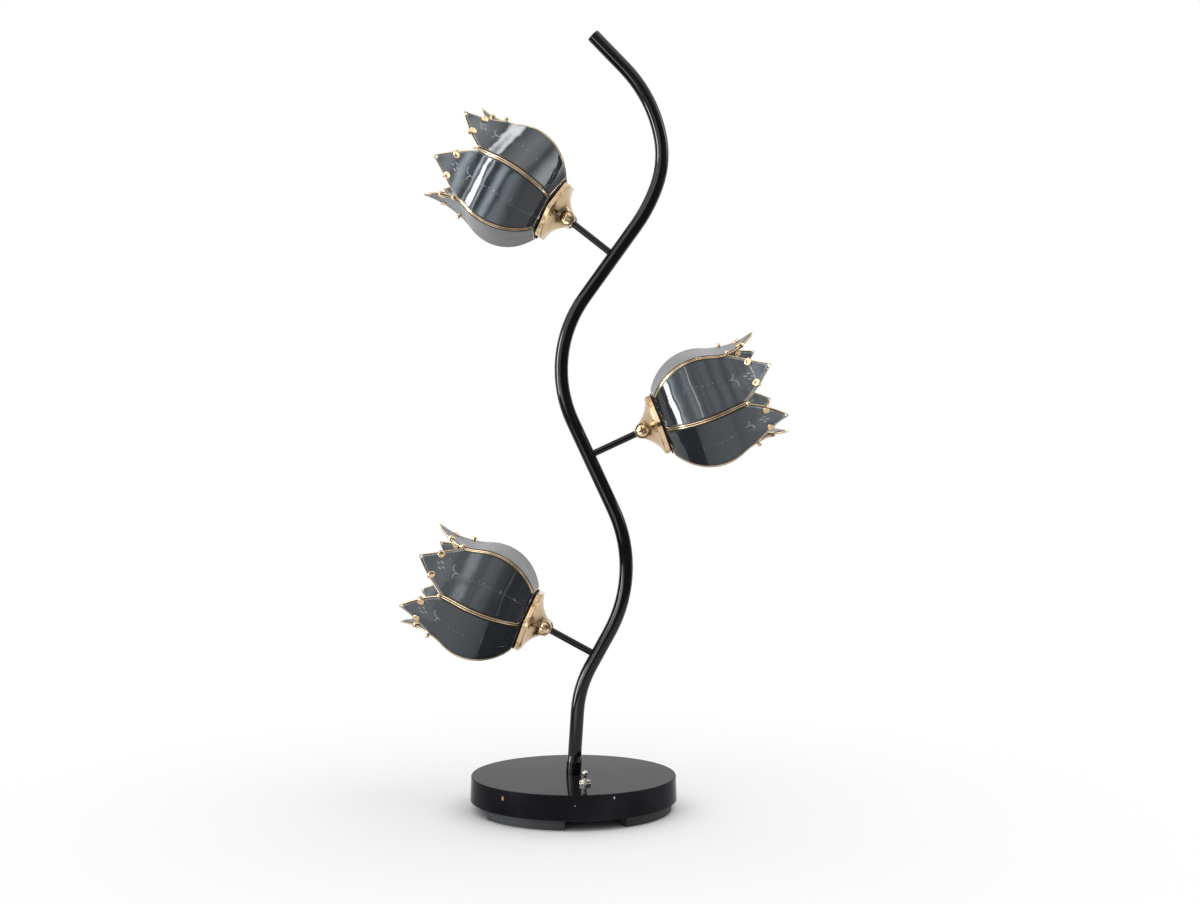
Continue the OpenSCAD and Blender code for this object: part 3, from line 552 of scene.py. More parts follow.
class PetalForm:
    """The bent plate of one petal: X outward, Y along the flower's girth, Z along its axis."""

    def __init__(self, s):
        self.s = s
        self.wire_r = s.wire_d / 2
        self.seam_in = self.wire_r + FIT
        self.mid_1 = s.belly_r - s.glass_t / 2
        self.mid_2 = s.flare_r + s.glass_t / 2
        glass_low = s.plate_top + s.wire_d + 2 * FIT
        self.low_a = math.asin((glass_low - s.belly_z) / self.mid_1)
        self.wire_a = self.low_a - math.asin(self.seam_in / self.mid_1)
        self.hub_1 = Vector((s.petal_foot - self.mid_1 * math.cos(self.low_a), 0, s.belly_z))
        self.turn_a = math.pi + s.flare_start
        self.hub_2 = self.hub_1 + (s.belly_r + s.flare_r) * self.ray(s.flare_start)
        run = Vector((-s.shoulder_w, s.tip_z - s.shoulder_z))
        middle = Vector((s.shoulder_w / 2, (s.shoulder_z + s.tip_z) / 2))
        back = math.sqrt(s.edge_r ** 2 - (run.length / 2) ** 2)
        self.edge_hub = middle - back * Vector((run.y, -run.x)) / run.length
        tip_wire_z = self.edge_hub.y + math.sqrt((s.edge_r - self.wire_r) ** 2 - self.edge_hub.x ** 2)
        self.tip_a = self.flare_angle(tip_wire_z)

    @staticmethod
    def ray(a):
        return Vector((math.cos(a), 0, math.sin(a)))

    @staticmethod
    def angle_at(point, hub):
        return math.atan2(point.z - hub.z, point.x - hub.x)

    def flare_angle(self, z):
        return math.pi - math.asin((z - self.hub_2.z) / self.mid_2)

    def edge_y(self, z):
        reach = self.s.edge_r - self.wire_r
        return self.edge_hub.x + math.sqrt(reach ** 2 - (z - self.edge_hub.y) ** 2)

    def seam_y(self, x):
        return x * math.tan(SEAM) - self.seam_in / math.cos(SEAM)

    def line(self, u):
        """Point in the bend's middle and its outward way; u is 0 at foot, 1 at flare and 2 at tip."""
        if u < 1:
            out = self.ray(self.wire_a + (self.s.flare_start - self.wire_a) * u)
            return self.hub_1 + self.mid_1 * out, out
        out = self.ray(self.turn_a + (self.tip_a - self.turn_a) * (u - 1))
        return self.hub_2 + self.mid_2 * out, -out

    def wire_y(self, point):
        return max(0.0, min(self.seam_y(point.x), self.edge_y(point.z)))

    def corner(self):
        """Where the seam turns into the tip edge."""
        low, high, halvings = 0.5, 2.0, 40
        for _ in range(halvings):
            mid = (low + high) / 2
            point = self.line(mid)[0]
            low, high = (low, mid) if self.seam_y(point.x) > self.edge_y(point.z) else (mid, high)
        return low

    def loop(self):
        """Centre line of the wire frame, once around the petal."""
        turn = self.corner()
        steps = [turn * i / SEAM_STEPS for i in range(SEAM_STEPS)]
        steps += [turn + (2 - turn) * i / TIP_STEPS for i in range(TIP_STEPS + 1)]
        right = []
        for u in steps:
            point = self.line(u)[0]
            right.append(Vector((point.x, self.wire_y(point), point.z)))
        left = [Vector((p.x, -p.y, p.z)) for p in reversed(right[:-1])]
        return right + left

    def seam_cuts(self):
        """Planes that bound the glass along its two seams, with the width of the band of painted shade."""
        s = self.s
        seam = (2 * self.seam_in + s.seam_gap) / math.cos(SEAM)
        at = Vector((seam / math.tan(SEAM), 0, 0))
        return [(at, Vector((-math.sin(SEAM), hand * math.cos(SEAM), 0)), s.seam_shade_band) for hand in (1, -1)]

    def tip_cuts(self):
        """Planes of the curved tip edges and of the blunt tip, with the width of the ground band."""
        s = self.s
        planes = []
        reach = s.edge_r - s.wire_d - FIT
        first = math.atan2(s.shoulder_z - self.edge_hub.y, s.shoulder_w - self.edge_hub.x)
        last = math.atan2(s.tip_z - self.edge_hub.y, -self.edge_hub.x)
        for hand in (1, -1):
            for i in range(EDGE_CUTS + 1):
                a = first + (last - first) * i / EDGE_CUTS
                normal = Vector((0, hand * math.cos(a), math.sin(a)))
                at = Vector((0, hand * self.edge_hub.x, self.edge_hub.y)) + reach * normal
                planes.append((at, normal, s.ground_tip))
        planes.append((Vector((0, 0, s.tip_z - s.tip_short)), Vector((0, 0, 1)), s.ground_tip))
        return planes


def sharp_edges(bm, limit):
    return [e for e in bm.edges if len(e.link_faces) == 2 and e.calc_face_angle(0) > limit]


def shade_smooth(bm, limit=math.pi):
    """Shades a piece smooth, except across edges that turn further than a limit."""
    for face in bm.faces:
        face.smooth = True
    for edge in sharp_edges(bm, limit):
        edge.smooth = False


def cut(bm, at, normal, clear=False):
    """Cuts everything along a plane and, where asked, clears what lies outside."""
    bmesh.ops.bisect_plane(bm, geom=bm.verts[:] + bm.edges[:] + bm.faces[:], dist=CUT, plane_co=at,
                           plane_no=normal, clear_outer=clear)


def bevel(bm, edges, offset, segments=1):
    bmesh.ops.bevel(bm, geom=edges, offset=offset, offset_type="OFFSET", segments=segments, profile=0.5,
                    affect="EDGES", material=-1, clamp_overlap=True)


def full_spin(bm, outline, axis, steps, centre=(0, 0, 0), closed=True):
    """Spins an outline once around an axis."""
    line = [bm.verts.new(point) for point in outline]
    following = line[1:] + line[:1] if closed else line[1:]
    edges = [bm.edges.new(pair) for pair in zip(line, following)]
    bmesh.ops.spin(bm, geom=line + edges, cent=centre, axis=axis, angle=2 * math.pi, steps=steps,
                   use_merge=True)


def lies_near(point, cuts):
    """Whether a point lies in the band along one of the cuts."""
    return any((point - at).dot(normal) > -band for at, normal, band in cuts)


def petal_mesh(form, skew):
    """One petal of bent glass, with its bands, cut edges and chamfers."""
    s = form.s
    bm = bmesh.new()
    half = s.shoulder_w * 1.5   # wider than the petal, which the cuts narrow
    start = form.hub_1 + s.belly_r * form.ray(form.low_a)
    ends = [bm.verts.new(start + Vector((0, y, 0))) for y in (-half, half)]
    line = bm.edges.new(ends)
    belly = bmesh.ops.spin(bm, geom=ends + [line], cent=form.hub_1, axis=(0, -1, 0),
                           angle=s.flare_start - form.low_a, steps=BELLY_STEPS)
    bmesh.ops.spin(bm, geom=belly["geom_last"], cent=form.hub_2, axis=(0, 1, 0),
                   angle=form.turn_a - form.tip_a, steps=FLARE_STEPS)
    seams, tips = form.seam_cuts(), form.tip_cuts()
    for at, normal, _ in seams + tips:
        cut(bm, at, normal, clear=True)
    for at, normal, band in seams + tips:
        cut(bm, at - band * normal, normal)
    bmesh.ops.remove_doubles(bm, verts=bm.verts[:], dist=MERGE)
    bmesh.ops.recalc_face_normals(bm, faces=bm.faces[:])
    bm.faces.ensure_lookup_table()
    if bm.faces[0].normal.x < 0:
        bmesh.ops.reverse_faces(bm, faces=bm.faces[:])
    for face in bm.faces:
        middle = face.calc_center_median()
        if lies_near(middle, tips):
            face.material_index = GROUND
        else:
            # Faces along the seams get the near-black painted shade
            face.material_index = SEAM_SHADE if lies_near(middle, seams) else GLASS
    bmesh.ops.solidify(bm, geom=bm.faces[:], thickness=s.glass_t)
    bevel(bm, sharp_edges(bm, limit=1.0), s.chamfer)
    map_petal(bm, form, skew)
    shade_smooth(bm, limit=0.3)
    return bm


def map_petal(bm, form, skew):
    """Marks the cut edges and chamfers, and lays the petal's map with its pattern turned by a skew."""
    s = form.s
    layer = bm.loops.layers.uv.new(PETAL_MAP)
    turn_z = (form.hub_1 + s.belly_r * form.ray(s.flare_start)).z
    belly_run = s.belly_r * (s.flare_start - form.low_a)
    whole_run = belly_run + s.flare_r * (form.turn_a - form.tip_a)
    for face in bm.faces:
        middle = face.calc_center_median()
        hub = form.hub_1 if middle.z < turn_z else form.hub_2
        out = (middle - hub) * Vector((1, 0, 1))
        facing = abs(face.normal.dot(out.normalized()))
        if facing < FACE_ON:
            face.material_index = CUT_EDGE if facing < EDGE_ON else CHAMFER
        for loop in face.loops:
            p = loop.vert.co
            if p.z < turn_z:
                run = s.belly_r * (form.angle_at(p, form.hub_1) - form.low_a)
            else:
                around = form.angle_at(p, form.hub_2) % (2 * math.pi)
                run = belly_run + s.flare_r * (form.turn_a - around)
            side, down = MM * p.y, MM * (whole_run - run)
            loop[layer].uv = (side * math.cos(skew) + (down - PATTERN_MIDDLE) * math.sin(skew),
                              down - side * math.sin(skew))


def finished(name, bm, body, finishes, replaced):
    """Turns a bmesh into a piece that rides on a body and stands for its CAD nodes."""
    mesh = bpy.data.meshes.new(name)
    bm.to_mesh(mesh)
    bm.free()
    piece = bpy.data.objects.new(name, mesh)
    bpy.context.scene.collection.objects.link(piece)
    for finish in finishes:
        mesh.materials.append(finish)
    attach(piece, body)
    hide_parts(*replaced)


def join(bm, part, place):
    """Moves a small part to its place and adds it to a larger one."""
    bmesh.ops.transform(part, matrix=place, verts=part.verts[:])
    held = bpy.data.meshes.new("part")
    part.to_mesh(held)
    part.free()
    bm.from_mesh(held)
    bpy.data.meshes.remove(held)


def dress(nodes, finish):
    """Gives a finish to CAD nodes."""
    for name in nodes:
        held = frame["nodes"][name].data.materials
        held.clear()
        held.append(finish)


# Operators

class LOTUS_OT_petals(Operator):
    """Bend, cut and grind the eighteen glass petals"""
    bl_idname = "lotus.petals"
    bl_label = "Glass petals"

    def execute(self, context):
        form = PetalForm(context.scene.lotus_flower)
        edge = plain_finish("cut_glass", (0.006, 0.007, 0.008), (0.016, 0.018, 0.020), rough=0.12,
                            grain=1400.0, ior=1.5)
        chamfer = plain_finish("chamfer_glass", (0.20, 0.22, 0.23), (0.09, 0.10, 0.11), rough=0.15,
                               grain=900.0, ior=1.5)
        # Near-black painted shade for the glass along the seams, where the gap beside the wire lies in
        # shadow
        seam = plain_finish("painted_seam_shade", (0.010, 0.009, 0.008), (0.004, 0.004, 0.004), rough=0.25,
                            grain=1200.0)
        finishes = [glass_finish(), ground_finish(), edge, chamfer, seam]
        for k, name in enumerate(HEADS):
            head = Head(name)
            for i in range(PETALS):
                bm = petal_mesh(form, PATTERN_SKEW * math.sin(2.1 * i + 1.3 * k))
                bmesh.ops.transform(bm, matrix=head.petal(i), verts=bm.verts[:])
                node = f"{name}_petal_{i + 1}"
                finished(f"{name}_glass_{i + 1}", bm, head.body, finishes, [node])
        return {"FINISHED"}


class LOTUS_OT_wires(Operator):
    """Bend the wire frames around the petals"""
    bl_idname = "lotus.wires"
    bl_label = "Wire frames"

    def execute(self, context):
        form = PetalForm(context.scene.lotus_flower)
        finish = brass_finish("wire_brass", context.scene.lotus_finish.brass, rough=0.08)
        path = self.eased(form.loop(), form.s.wire_bend)
        for name in HEADS:
            head = Head(name)
            curve = bpy.data.curves.new(name + "_frames", "CURVE")
            curve.dimensions = "3D"
            curve.bevel_depth = form.s.wire_shown / 2
            curve.bevel_resolution = 3
            for i in range(PETALS):
                spline = curve.splines.new("POLY")
                spline.points.add(len(path) - 1)
                for point, place in zip(spline.points, path):
                    point.co = (*(head.petal(i) @ place), 1)
                spline.use_cyclic_u = True
            bent = bpy.data.objects.new(name + "_bent", curve)
            context.scene.collection.objects.link(bent)
            context.view_layer.update()
            bm = bmesh.new()
            bm.from_mesh(bent.evaluated_get(context.evaluated_depsgraph_get()).to_mesh())
            bpy.data.objects.remove(bent)
            shade_smooth(bm)
            bmesh.ops.recalc_face_normals(bm, faces=bm.faces[:])
            finished(name + "_frame_wires", bm, head.body, [finish], [name + "_wires"])
        return {"FINISHED"}

    @staticmethod
    def eased(points, radius):
        """Rounds the sharp corners of a closed line."""
        straight, share_of_side = 0.35, 0.45
        out = []
        count = len(points)
        for i, here in enumerate(points):
            before, after = points[i - 1] - here, points[(i + 1) % count] - here
            if before.angle(-after) < straight:
                out.append(here)
                continue
            reach = min(radius, share_of_side * before.length, share_of_side * after.length)
            first, last = here + reach * before.normalized(), here + reach * after.normalized()
            for t in (0.0, 0.25, 0.5, 0.75, 1.0):
                out.append(first.lerp(here, t).lerp(here.lerp(last, t), t))
        return out


class LOTUS_OT_clips(Operator):
    """Press the dished clips and set the beads on the seams"""
    bl_idname = "lotus.clips"
    bl_label = "Clips and beads"

    def execute(self, context):
        form = PetalForm(context.scene.lotus_flower)
        finish = brass_finish("clip_brass", context.scene.lotus_finish.brass, rough=0.13)
        for name in HEADS:
            head = Head(name)
            bm = bmesh.new()
            for i in range(PETALS):
                for hand in (1, -1):
                    join(bm, self.clip(form, hand), head.petal(i))
                join(bm, self.bead(form), head.petal(i) @ Matrix.Rotation(SEAM, 4, "Z"))
            shade_smooth(bm, limit=0.7)
            finished(name + "_pressed_clips", bm, head.body, [finish], [name + "_clips"])
        return {"FINISHED"}

    @staticmethod
    def clip(form, hand):
        """Two dished discs that grip the glass, joined by a strap around the wire."""
        s = form.s
        bm = bmesh.new()
        r = s.clip_d / 2
        shift = -hand * (r - form.wire_r)
        lift = s.glass_t / 2 + FIT + r * r / (2 * s.flare_r)
        for side in (1, -1):
            outline = [(side * (lift + h / MM), shift + r * q, 0) for q, h in CLIP_DISH]
            full_spin(bm, outline, (1, 0, 0), CLIP_STEPS, centre=(0, shift, 0), closed=False)
        bmesh.ops.remove_doubles(bm, verts=bm.verts[:], dist=MERGE)
        strap = bmesh.ops.create_cube(bm, size=1.0)["verts"]
        bmesh.ops.scale(bm, vec=(2 * lift + s.strap_over, s.strap_t, s.strap_w), verts=strap)
        bmesh.ops.translate(bm, vec=(0, hand * (form.wire_r + FIT + s.strap_t / 2), 0), verts=strap)
        bevel(bm, list({e for v in strap for e in v.link_edges}), s.strap_ease, segments=2)
        bmesh.ops.recalc_face_normals(bm, faces=bm.faces[:])
        a = form.flare_angle(s.clip_z)
        point = form.hub_2 + form.mid_2 * form.ray(a)
        probe = 0.004           # the tip edge's lean is read this far to either side
        rise = form.edge_y(s.clip_z - probe) - form.edge_y(s.clip_z + probe)
        lean = math.atan2(rise, 2 * probe / math.sin(a - math.pi / 2))
        place = Matrix.Translation((point.x, hand * form.wire_y(point), point.z))
        place = place @ Matrix.Rotation(math.pi - a, 4, "Y") @ Matrix.Rotation(hand * lean, 4, "X")
        bmesh.ops.transform(bm, matrix=place, verts=bm.verts[:])
        return bm

    @staticmethod
    def bead(form):
        """A small ball on a collar, in the valley between two wires."""
        bm = bmesh.new()
        point, out = form.line(form.corner())
        r = form.s.bead_d / 2
        normal = Vector((out.x, 0, out.z / math.cos(SEAM))).normalized()
        up = math.sqrt((form.wire_r + r + 3 * FIT) ** 2 - form.seam_in ** 2)
        foot = Vector((point.x * math.cos(SEAM) + form.seam_y(point.x) * math.sin(SEAM), 0, point.z))
        bmesh.ops.create_uvsphere(bm, u_segments=20, v_segments=12, radius=r)
        collar_low, collar_high, collar_h, collar_drop = 0.62 * r, 0.5 * r, 0.5 * r, 0.86 * r
        collar = bmesh.ops.create_cone(bm, cap_ends=True, segments=16, radius1=collar_low,
                                       radius2=collar_high, depth=collar_h)["verts"]
        bmesh.ops.translate(bm, vec=(0, 0, -collar_drop), verts=collar)
        place = Matrix.Translation(foot + up * normal) @ normal.to_track_quat("Z", "Y").to_matrix().to_4x4()
        bmesh.ops.transform(bm, matrix=place, verts=bm.verts[:])
        return bm


class LOTUS_OT_stand(Operator):
    """Lacquer the stand and finish its feet, switch and inner pieces"""
    bl_idname = "lotus.stand"
    bl_label = "Stand finishes"

    def execute(self, context):
        tints = context.scene.lotus_finish
        dress(["base_shell"], lacquer_finish("base_lacquer", BASE_INDEX, BASE_SHEEN_LIFT))
        dress(["stem", "stem_sleeve", "stem_plug", "arm_top", "arm_middle", "arm_bottom"],
              lacquer_finish("stem_lacquer", STEM_INDEX))
        rubber = plain_finish("moulded_black", toned(tints.rubber), toned(tints.rubber, 1.6), rough=0.5,
                              grain=900.0, depth=0.12, ior=1.4)
        dress(["base_cover", "foot_ring", "cord_bush"], rubber)
        steel = plain_finish("plain_steel", (0.50, 0.51, 0.53), (0.36, 0.37, 0.39), rough=0.3, metallic=1.0)
        dress(["base_weight", "cover_screws", "stem_washer"], steel)
        dress(["stem_locknut"], brass_finish("turned_brass", tints.brass, rough=0.22))
        nickel = plain_finish("warm_nickel", toned(tints.nickel), toned(tints.nickel, 0.6), rough=0.16,
                              metallic=1.0, grain=700.0)
        dress(["switch_body", "toggle_lever"], nickel)
        bm = self.nut(context.scene.lotus_switch)
        low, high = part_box("switch_nut")
        middle = (low + high) / 2
        bmesh.ops.translate(bm, vec=(middle.x, middle.y, low.z), verts=bm.verts[:])
        finished("knurled_nut", bm, "stand", [nickel], ["switch_nut"])
        return {"FINISHED"}

    @staticmethod
    def nut(s):
        """Two knurled rings with a groove between them, bored for the threaded bush."""
        bm = bmesh.new()
        lower, upper, neck, bore = s.lower_d / 2, s.upper_d / 2, s.neck_d / 2, s.bore_d / 2
        lower_ring = ((lower - s.ease, 0), (lower, s.ease), (lower, s.lower_h - s.ease),
                      (lower - s.ease, s.lower_h))
        groove = ((neck, s.lower_h), (neck, s.neck_h))
        upper_ring = ((upper - s.ease, s.neck_h), (upper, s.neck_h + s.ease), (upper, s.nut_h - s.ease),
                      (upper - s.ease, s.nut_h))
        outline = ((bore, 0), *lower_ring, *groove, *upper_ring, (bore, s.nut_h))
        full_spin(bm, [(x, 0, z) for x, z in outline], (0, 0, 1), FLUTE_STEPS * s.flutes)
        bmesh.ops.remove_doubles(bm, verts=bm.verts[:], dist=MERGE)
        for vert in bm.verts:
            reach = vert.co.xy.length
            if reach > upper - s.ease / 2:
                turn = math.atan2(vert.co.y, vert.co.x)
                depth = s.flute * (0.5 - 0.5 * math.cos(s.flutes * turn))
                vert.co.xy *= 1 - depth / reach
        bmesh.ops.recalc_face_normals(bm, faces=bm.faces[:])
        return bm


class LOTUS_OT_heads(Operator):
    """Finish the calyxes, pivot screws, petal plates, holders and bulbs"""
    bl_idname = "lotus.heads"
    bl_label = "Head finishes"

    def execute(self, context):
        sizes = context.scene.lotus_flower
        screw = brass_finish("screw_brass", context.scene.lotus_finish.brass, rough=0.07)
        # The petal plate is shown near black: painted shade, as dark as the shadowed gap under the petals
        plate = plain_finish("dark_brass", (0.010, 0.008, 0.006), (0.004, 0.004, 0.003), rough=0.5,
                             metallic=0.3)
        holder = plain_finish("holder_cream", (0.80, 0.77, 0.68), (0.70, 0.66, 0.56), rough=0.4, depth=0.05)
        pearl = plain_finish("pearl_glass", (0.86, 0.85, 0.80), (0.80, 0.78, 0.72), rough=0.3, grain=300.0,
                             depth=0.02)
        for name in HEADS:
            head = Head(name)
            dress([name + "_calyx"], calyx_finish(name + "_cast_brass", head))
            dress([name + "_pivot_screw"], screw)
            bm = self.plate(sizes)
            bmesh.ops.transform(bm, matrix=head.petal(0), verts=bm.verts[:])
            finished(name + "_dark_plate", bm, head.body, [plate], [name + "_plate"])
            dress([name + "_holder"], holder)
            dress([name + "_bulb"], pearl)
        return {"FINISHED"}

    @staticmethod
    def plate(s):
        """Stepped six-sided plate under the petals, with cut corners and a hole for the nipple."""
        bm = bmesh.new()
        hole, rim = s.nipple_d / 2, s.petal_foot - s.plate_in
        step, low = s.plate_top - s.plate_rim, s.plate_top - s.plate_t
        outline = ((hole, s.plate_top), (rim, s.plate_top), (rim, step), (s.plate_neck, step),
                   (s.plate_neck, low), (hole, low))
        full_spin(bm, [(x / math.cos(SEAM), 0, z) for x, z in outline], (0, 0, 1), PETALS)
        bmesh.ops.remove_doubles(bm, verts=bm.verts[:], dist=MERGE)
        bmesh.ops.rotate(bm, cent=(0, 0, 0), matrix=Matrix.Rotation(SEAM, 3, "Z"), verts=bm.verts[:])
        upright = [e for e in bm.edges if (e.verts[0].co - e.verts[1].co).xy.length < MERGE
                   and e.verts[0].co.xy.length > s.nipple_d]
        bevel(bm, upright, s.plate_corner, segments=3)
        bevel(bm, sharp_edges(bm, limit=1.2), s.plate_ease)
        bmesh.ops.recalc_face_normals(bm, faces=bm.faces[:])
        return bm


# Studio, in metres; the eye and the floor card are placed from the middle of the base's foot
EYE = (0.0245, -1.496, 0.3305)
LENS_MM, SENSOR_MM = 48.3, 36.0
FLOOR_HALF, FLOOR_DROP = 20.0, 0.0002
PAPER, FLOOR_IN_FRONT = (0.96, 0.96, 0.96, 1.0), (0.18, 0.18, 0.19)
ROOM_LEFT, ROOM_RIGHT, ROOM_SIDES = (0.74, 0.80, 0.88), (0.13, 0.13, 0.135), (0.20, 0.20, 0.21)
CEILING, STREAKS = (1.08, 1.08, 1.08), (5.0, 5.0, 1.4)
DAYLIGHT, DAYLIGHT_WAY = (2.2, 2.45, 2.6), (-0.775, -0.484, 0.407)
CARD_AIM = (0, 0, 0.38)             # the point that the soft cards face

# Soft cards: bearing from the viewer's line and rise in degrees, distance, width and height, level, tint
# and the share of each side that fades
CARDS = (
    ("window", -74, 6, 2.2, (0.50, 1.3), 26.0, (0.93, 0.97, 1.0), 0.12),
    ("window_side", -62, 6, 2.2, (0.30, 1.3), 7.0, (0.80, 0.92, 1.0), 0.5),
    ("strip", -26, 17, 2.3, (0.12, 2.1), 6.0, (1.0, 0.98, 0.94), 0.3),
    ("low_card", -43, -5, 1.1, (0.8, 0.38), 7.5, (0.80, 0.91, 1.0), 0.5),
    ("right_card", 94, 27, 1.9, (1.4, 1.5), 5.0, (0.84, 0.93, 1.0), 0.45),
    ("high_side", -50, 51, 2.2, (1.1, 0.9), 3.0, (0.94, 0.97, 1.0), 0.5),
    ("far_side", 50, 10, 2.3, (0.16, 1.6), 1.0, (1.0, 0.97, 0.93), 0.4),
    ("skylight", -172, 78, 2.0, (0.62, 0.46), 9.0, (0.97, 0.98, 1.0), 0.3),
)
OVERHEAD = ("overhead", 70, 66, 2.0, (1.6, 1.6), 1.7, WHITE, 0.5)
FLOOR_CARD = ("floor_card", (1.1, 0.95), 3.0, (0.85, 0.93, 1.0), 0.35)
FLOOR_CARD_AT = (-0.45, -0.78, 0.004)


class LOTUS_OT_studio(Operator):
    """Set up the pale floor, the soft studio light and the camera"""
    bl_idname = "lotus.studio"
    bl_label = "Studio"

    def execute(self, context):
        scene = context.scene
        foot = Vector((stand_x(), 0, 0))
        self.camera(scene, foot + Vector(EYE))
        self.floor(scene, foot)
        self.surround(scene)
        for card in CARDS:
            self.softbox(*card)
        self.softbox(*OVERHEAD, lights_floor=True)
        card = self.area(*FLOOR_CARD)
        card.location = foot + Vector(FLOOR_CARD_AT)
        card.rotation_euler = (math.pi, 0, 0)
        scene.view_settings.view_transform = "Standard"
        return {"FINISHED"}

    @staticmethod
    def camera(scene, place):
        lens = bpy.data.cameras.new("camera")
        lens.sensor_fit = "HORIZONTAL"
        lens.sensor_width = SENSOR_MM
        lens.lens = LENS_MM
        lens.clip_end = 60
        eye = bpy.data.objects.new("camera", lens)
        eye.location = place
        eye.rotation_euler = (math.pi / 2, 0, 0)
        scene.collection.objects.link(eye)
        scene.camera = eye

    def floor(self, scene, foot):
        bm = bmesh.new()
        bmesh.ops.create_grid(bm, x_segments=1, y_segments=1, size=FLOOR_HALF)
        bmesh.ops.translate(bm, vec=(0, 0, -FLOOR_DROP), verts=bm.verts[:])
        mesh = bpy.data.meshes.new("studio_floor")
        bm.to_mesh(mesh)
        bm.free()
        ground = bpy.data.objects.new("studio_floor", mesh)
        scene.collection.objects.link(ground)
        mesh.materials.append(self.floor_finish(foot))

    @staticmethod
    def floor_finish(foot):
        """Paper that holds the lamp's shadow and ends in white; mirrors see it darker in front."""
        made, m = material("pale_floor")
        if m is None:
            return made
        moved = m.vector("SUBTRACT", m.place(), tuple(foot))
        reach = m.vector("LENGTH", moved)
        in_front = m.parts(moved)[1].ease(0.5, 0.0)
        mirrored = m.node("ShaderNodeLightPath")["Is Glossy Ray"]
        pale = m.mix(reach.ease(0.45, 0.9) * in_front * mirrored, WHITE, FLOOR_IN_FRONT)
        paper = m.node("ShaderNodeBsdfDiffuse", None, {"Color": PAPER})[0]
        glow = m.node("ShaderNodeEmission", None, {"Color": pale, "Strength": 1.0})[0]
        mixed = m.node("ShaderNodeMixShader", None, {0: reach.ease(0.16, 0.62), 1: paper, 2: glow})[0]
        m.node("ShaderNodeOutputMaterial", None, {"Surface": mixed})
        return made

    @staticmethod
    def surround(scene):
        """A white backdrop, and for lighting and mirrors a room that is lighter on the left and above."""
        world = bpy.data.worlds.new("studio")
        scene.world = world
        m = Finish(world)
        ray = m.node("ShaderNodeTexCoord")["Generated"]
        parts = m.parts(ray)
        ahead, behind, high = 0.0 - parts[1], parts[1].ease(0.25, 0.55), parts[2]
        ray_kind = m.node("ShaderNodeLightPath")
        mirrored = ray_kind["Is Glossy Ray"]
        room = m.mix(parts[0].ease(-0.5, 0.1), ROOM_LEFT, ROOM_RIGHT)
        room = m.mix(ahead.ease(0.25, 0.6), ROOM_SIDES, room)
        room = m.mix(behind, room, WHITE)
        room = m.mix(high.ease(0.25, 0.7), room, CEILING)
        daylight = m.vector("DOT_PRODUCT", ray, DAYLIGHT_WAY).ease(0.76, 0.97)
        room = m.mix(daylight * mirrored, room, DAYLIGHT)
        streaks = m.noise(m.stretch(ray, STREAKS), scale=1.0, detail=2.0).ease(0.32, 0.68)
        lively = m.node("ShaderNodeVectorMath", {"operation": "SCALE"},
                        {0: room, "Scale": 0.68 + 0.76 * streaks})[0]
        room = m.mix(mirrored, room, lively)
        shown = ray_kind["Is Camera Ray"].most(ray_kind["Is Transmission Ray"]).most(behind * mirrored)
        sky = m.node("ShaderNodeBackground", None, {"Color": m.mix(shown, room, WHITE), "Strength": 1.0})[0]
        m.node("ShaderNodeOutputWorld", None, {"Surface": sky})

    def softbox(self, name, bearing, rise, distance, size_m, level, tint, feather, lights_floor=False):
        """A soft light at a bearing from the viewer's line and a height angle, facing the lamp."""
        bearing, rise = math.radians(bearing), math.radians(rise)
        flat = Vector((math.sin(bearing), -math.cos(bearing), 0))
        way = math.cos(rise) * flat + Vector((0, 0, math.sin(rise)))
        box = self.area(name, size_m, level, tint, feather)
        box.location = Vector(CARD_AIM) + distance * way
        box.rotation_euler = way.to_track_quat("Z", "Y").to_euler()
        box.visible_diffuse = lights_floor

    @staticmethod
    def area(name, size_m, level, tint, feather):
        """An area light that fades towards its edges and shows in reflections only."""
        light = bpy.data.lights.new(name, "AREA")
        light.shape = "RECTANGLE"
        light.size, light.size_y = size_m
        light.energy = level * math.pi * size_m[0] * size_m[1]
        light.color = tint
        m = Finish(light)
        across = m.parts(m.node("ShaderNodeNewGeometry")["Parametric"])
        fade = 1.0
        for run in (across[0], across[1]):
            fade = fade * (run.ease(0.0, feather) * run.ease(1.0, 1.0 - feather))
        level_map = m.mix(fade, (0.0, 0.0, 0.0), WHITE)
        glow = m.node("ShaderNodeEmission", None, {"Color": level_map, "Strength": 1.0})[0]
        m.node("ShaderNodeOutputLight", None, {"Surface": glow})
        box = bpy.data.objects.new(name, light)
        box.visible_diffuse = False
        bpy.context.scene.collection.objects.link(box)
        return box


class LOTUS_PT_panel(Panel):
    """Lists the lamp's steps, sizes and colours"""
    bl_idname = "LOTUS_PT_panel"
    bl_label = "Lotus lamp"
    bl_space_type = "VIEW_3D"
    bl_region_type = "UI"
    bl_category = "Lotus lamp"

    def draw(self, context):
        for step in STEPS:
            self.layout.operator(step.bl_idname)
        for group in (context.scene.lotus_flower, context.scene.lotus_switch, context.scene.lotus_finish):
            box = self.layout.box()
            for key in group.__annotations__:
                box.prop(group, key)


STEPS = (LOTUS_OT_stand, LOTUS_OT_heads, LOTUS_OT_petals, LOTUS_OT_wires, LOTUS_OT_clips, LOTUS_OT_studio)
CLASSES = (LotusFlower, LotusSwitch, LotusFinish, *STEPS, LOTUS_PT_panel)


def register():
    for each in CLASSES:
        bpy.utils.register_class(each)
    bpy.types.Scene.lotus_flower = PointerProperty(type=LotusFlower)
    bpy.types.Scene.lotus_switch = PointerProperty(type=LotusSwitch)
    bpy.types.Scene.lotus_finish = PointerProperty(type=LotusFinish)


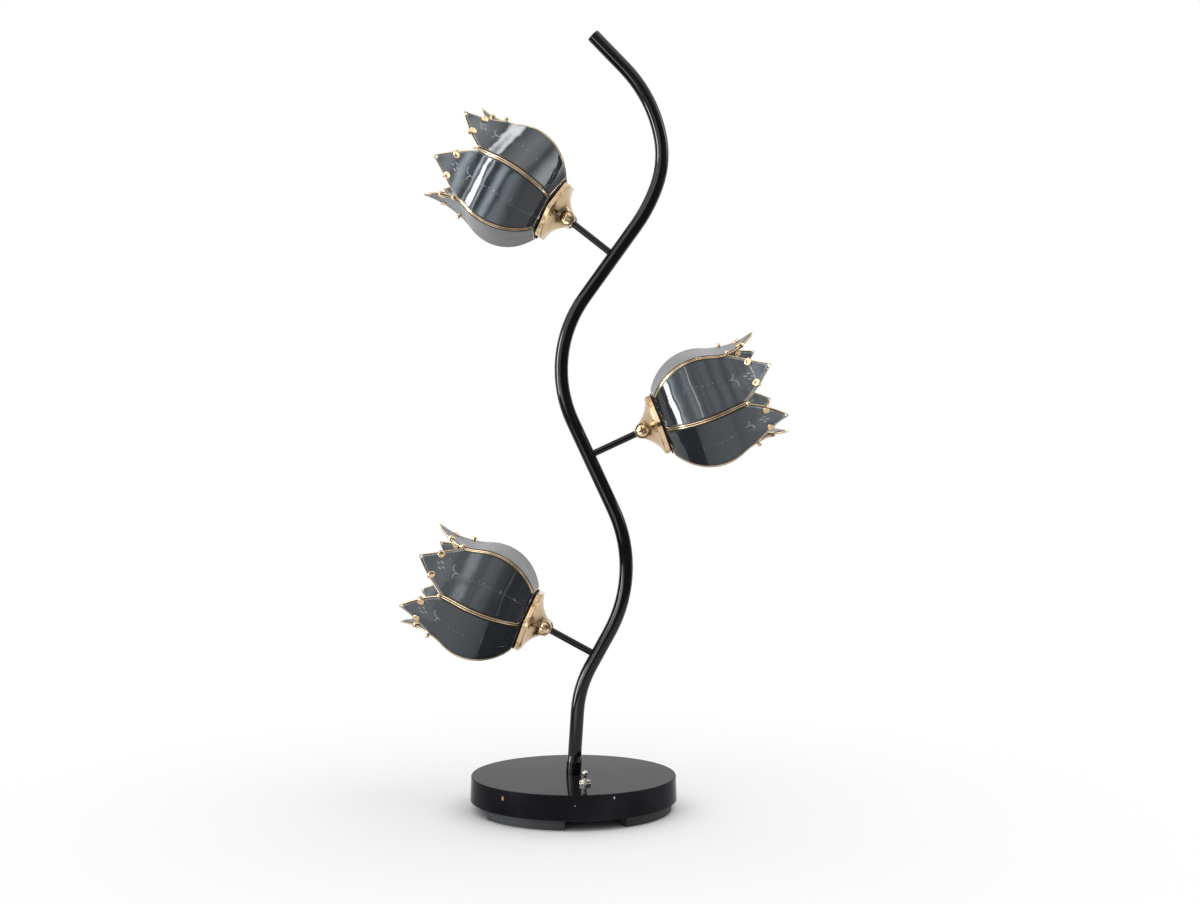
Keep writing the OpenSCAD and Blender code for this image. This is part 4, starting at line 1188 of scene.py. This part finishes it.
def unregister():
    del bpy.types.Scene.lotus_finish
    del bpy.types.Scene.lotus_switch
    del bpy.types.Scene.lotus_flower
    for each in reversed(CLASSES):
        bpy.utils.unregister_class(each)


def main():
    register()
    bpy.ops.lotus.stand()
    bpy.ops.lotus.heads()
    bpy.ops.lotus.petals()
    bpy.ops.lotus.wires()
    bpy.ops.lotus.clips()
    bpy.ops.lotus.studio()


if __name__ == "__main__":
    main()
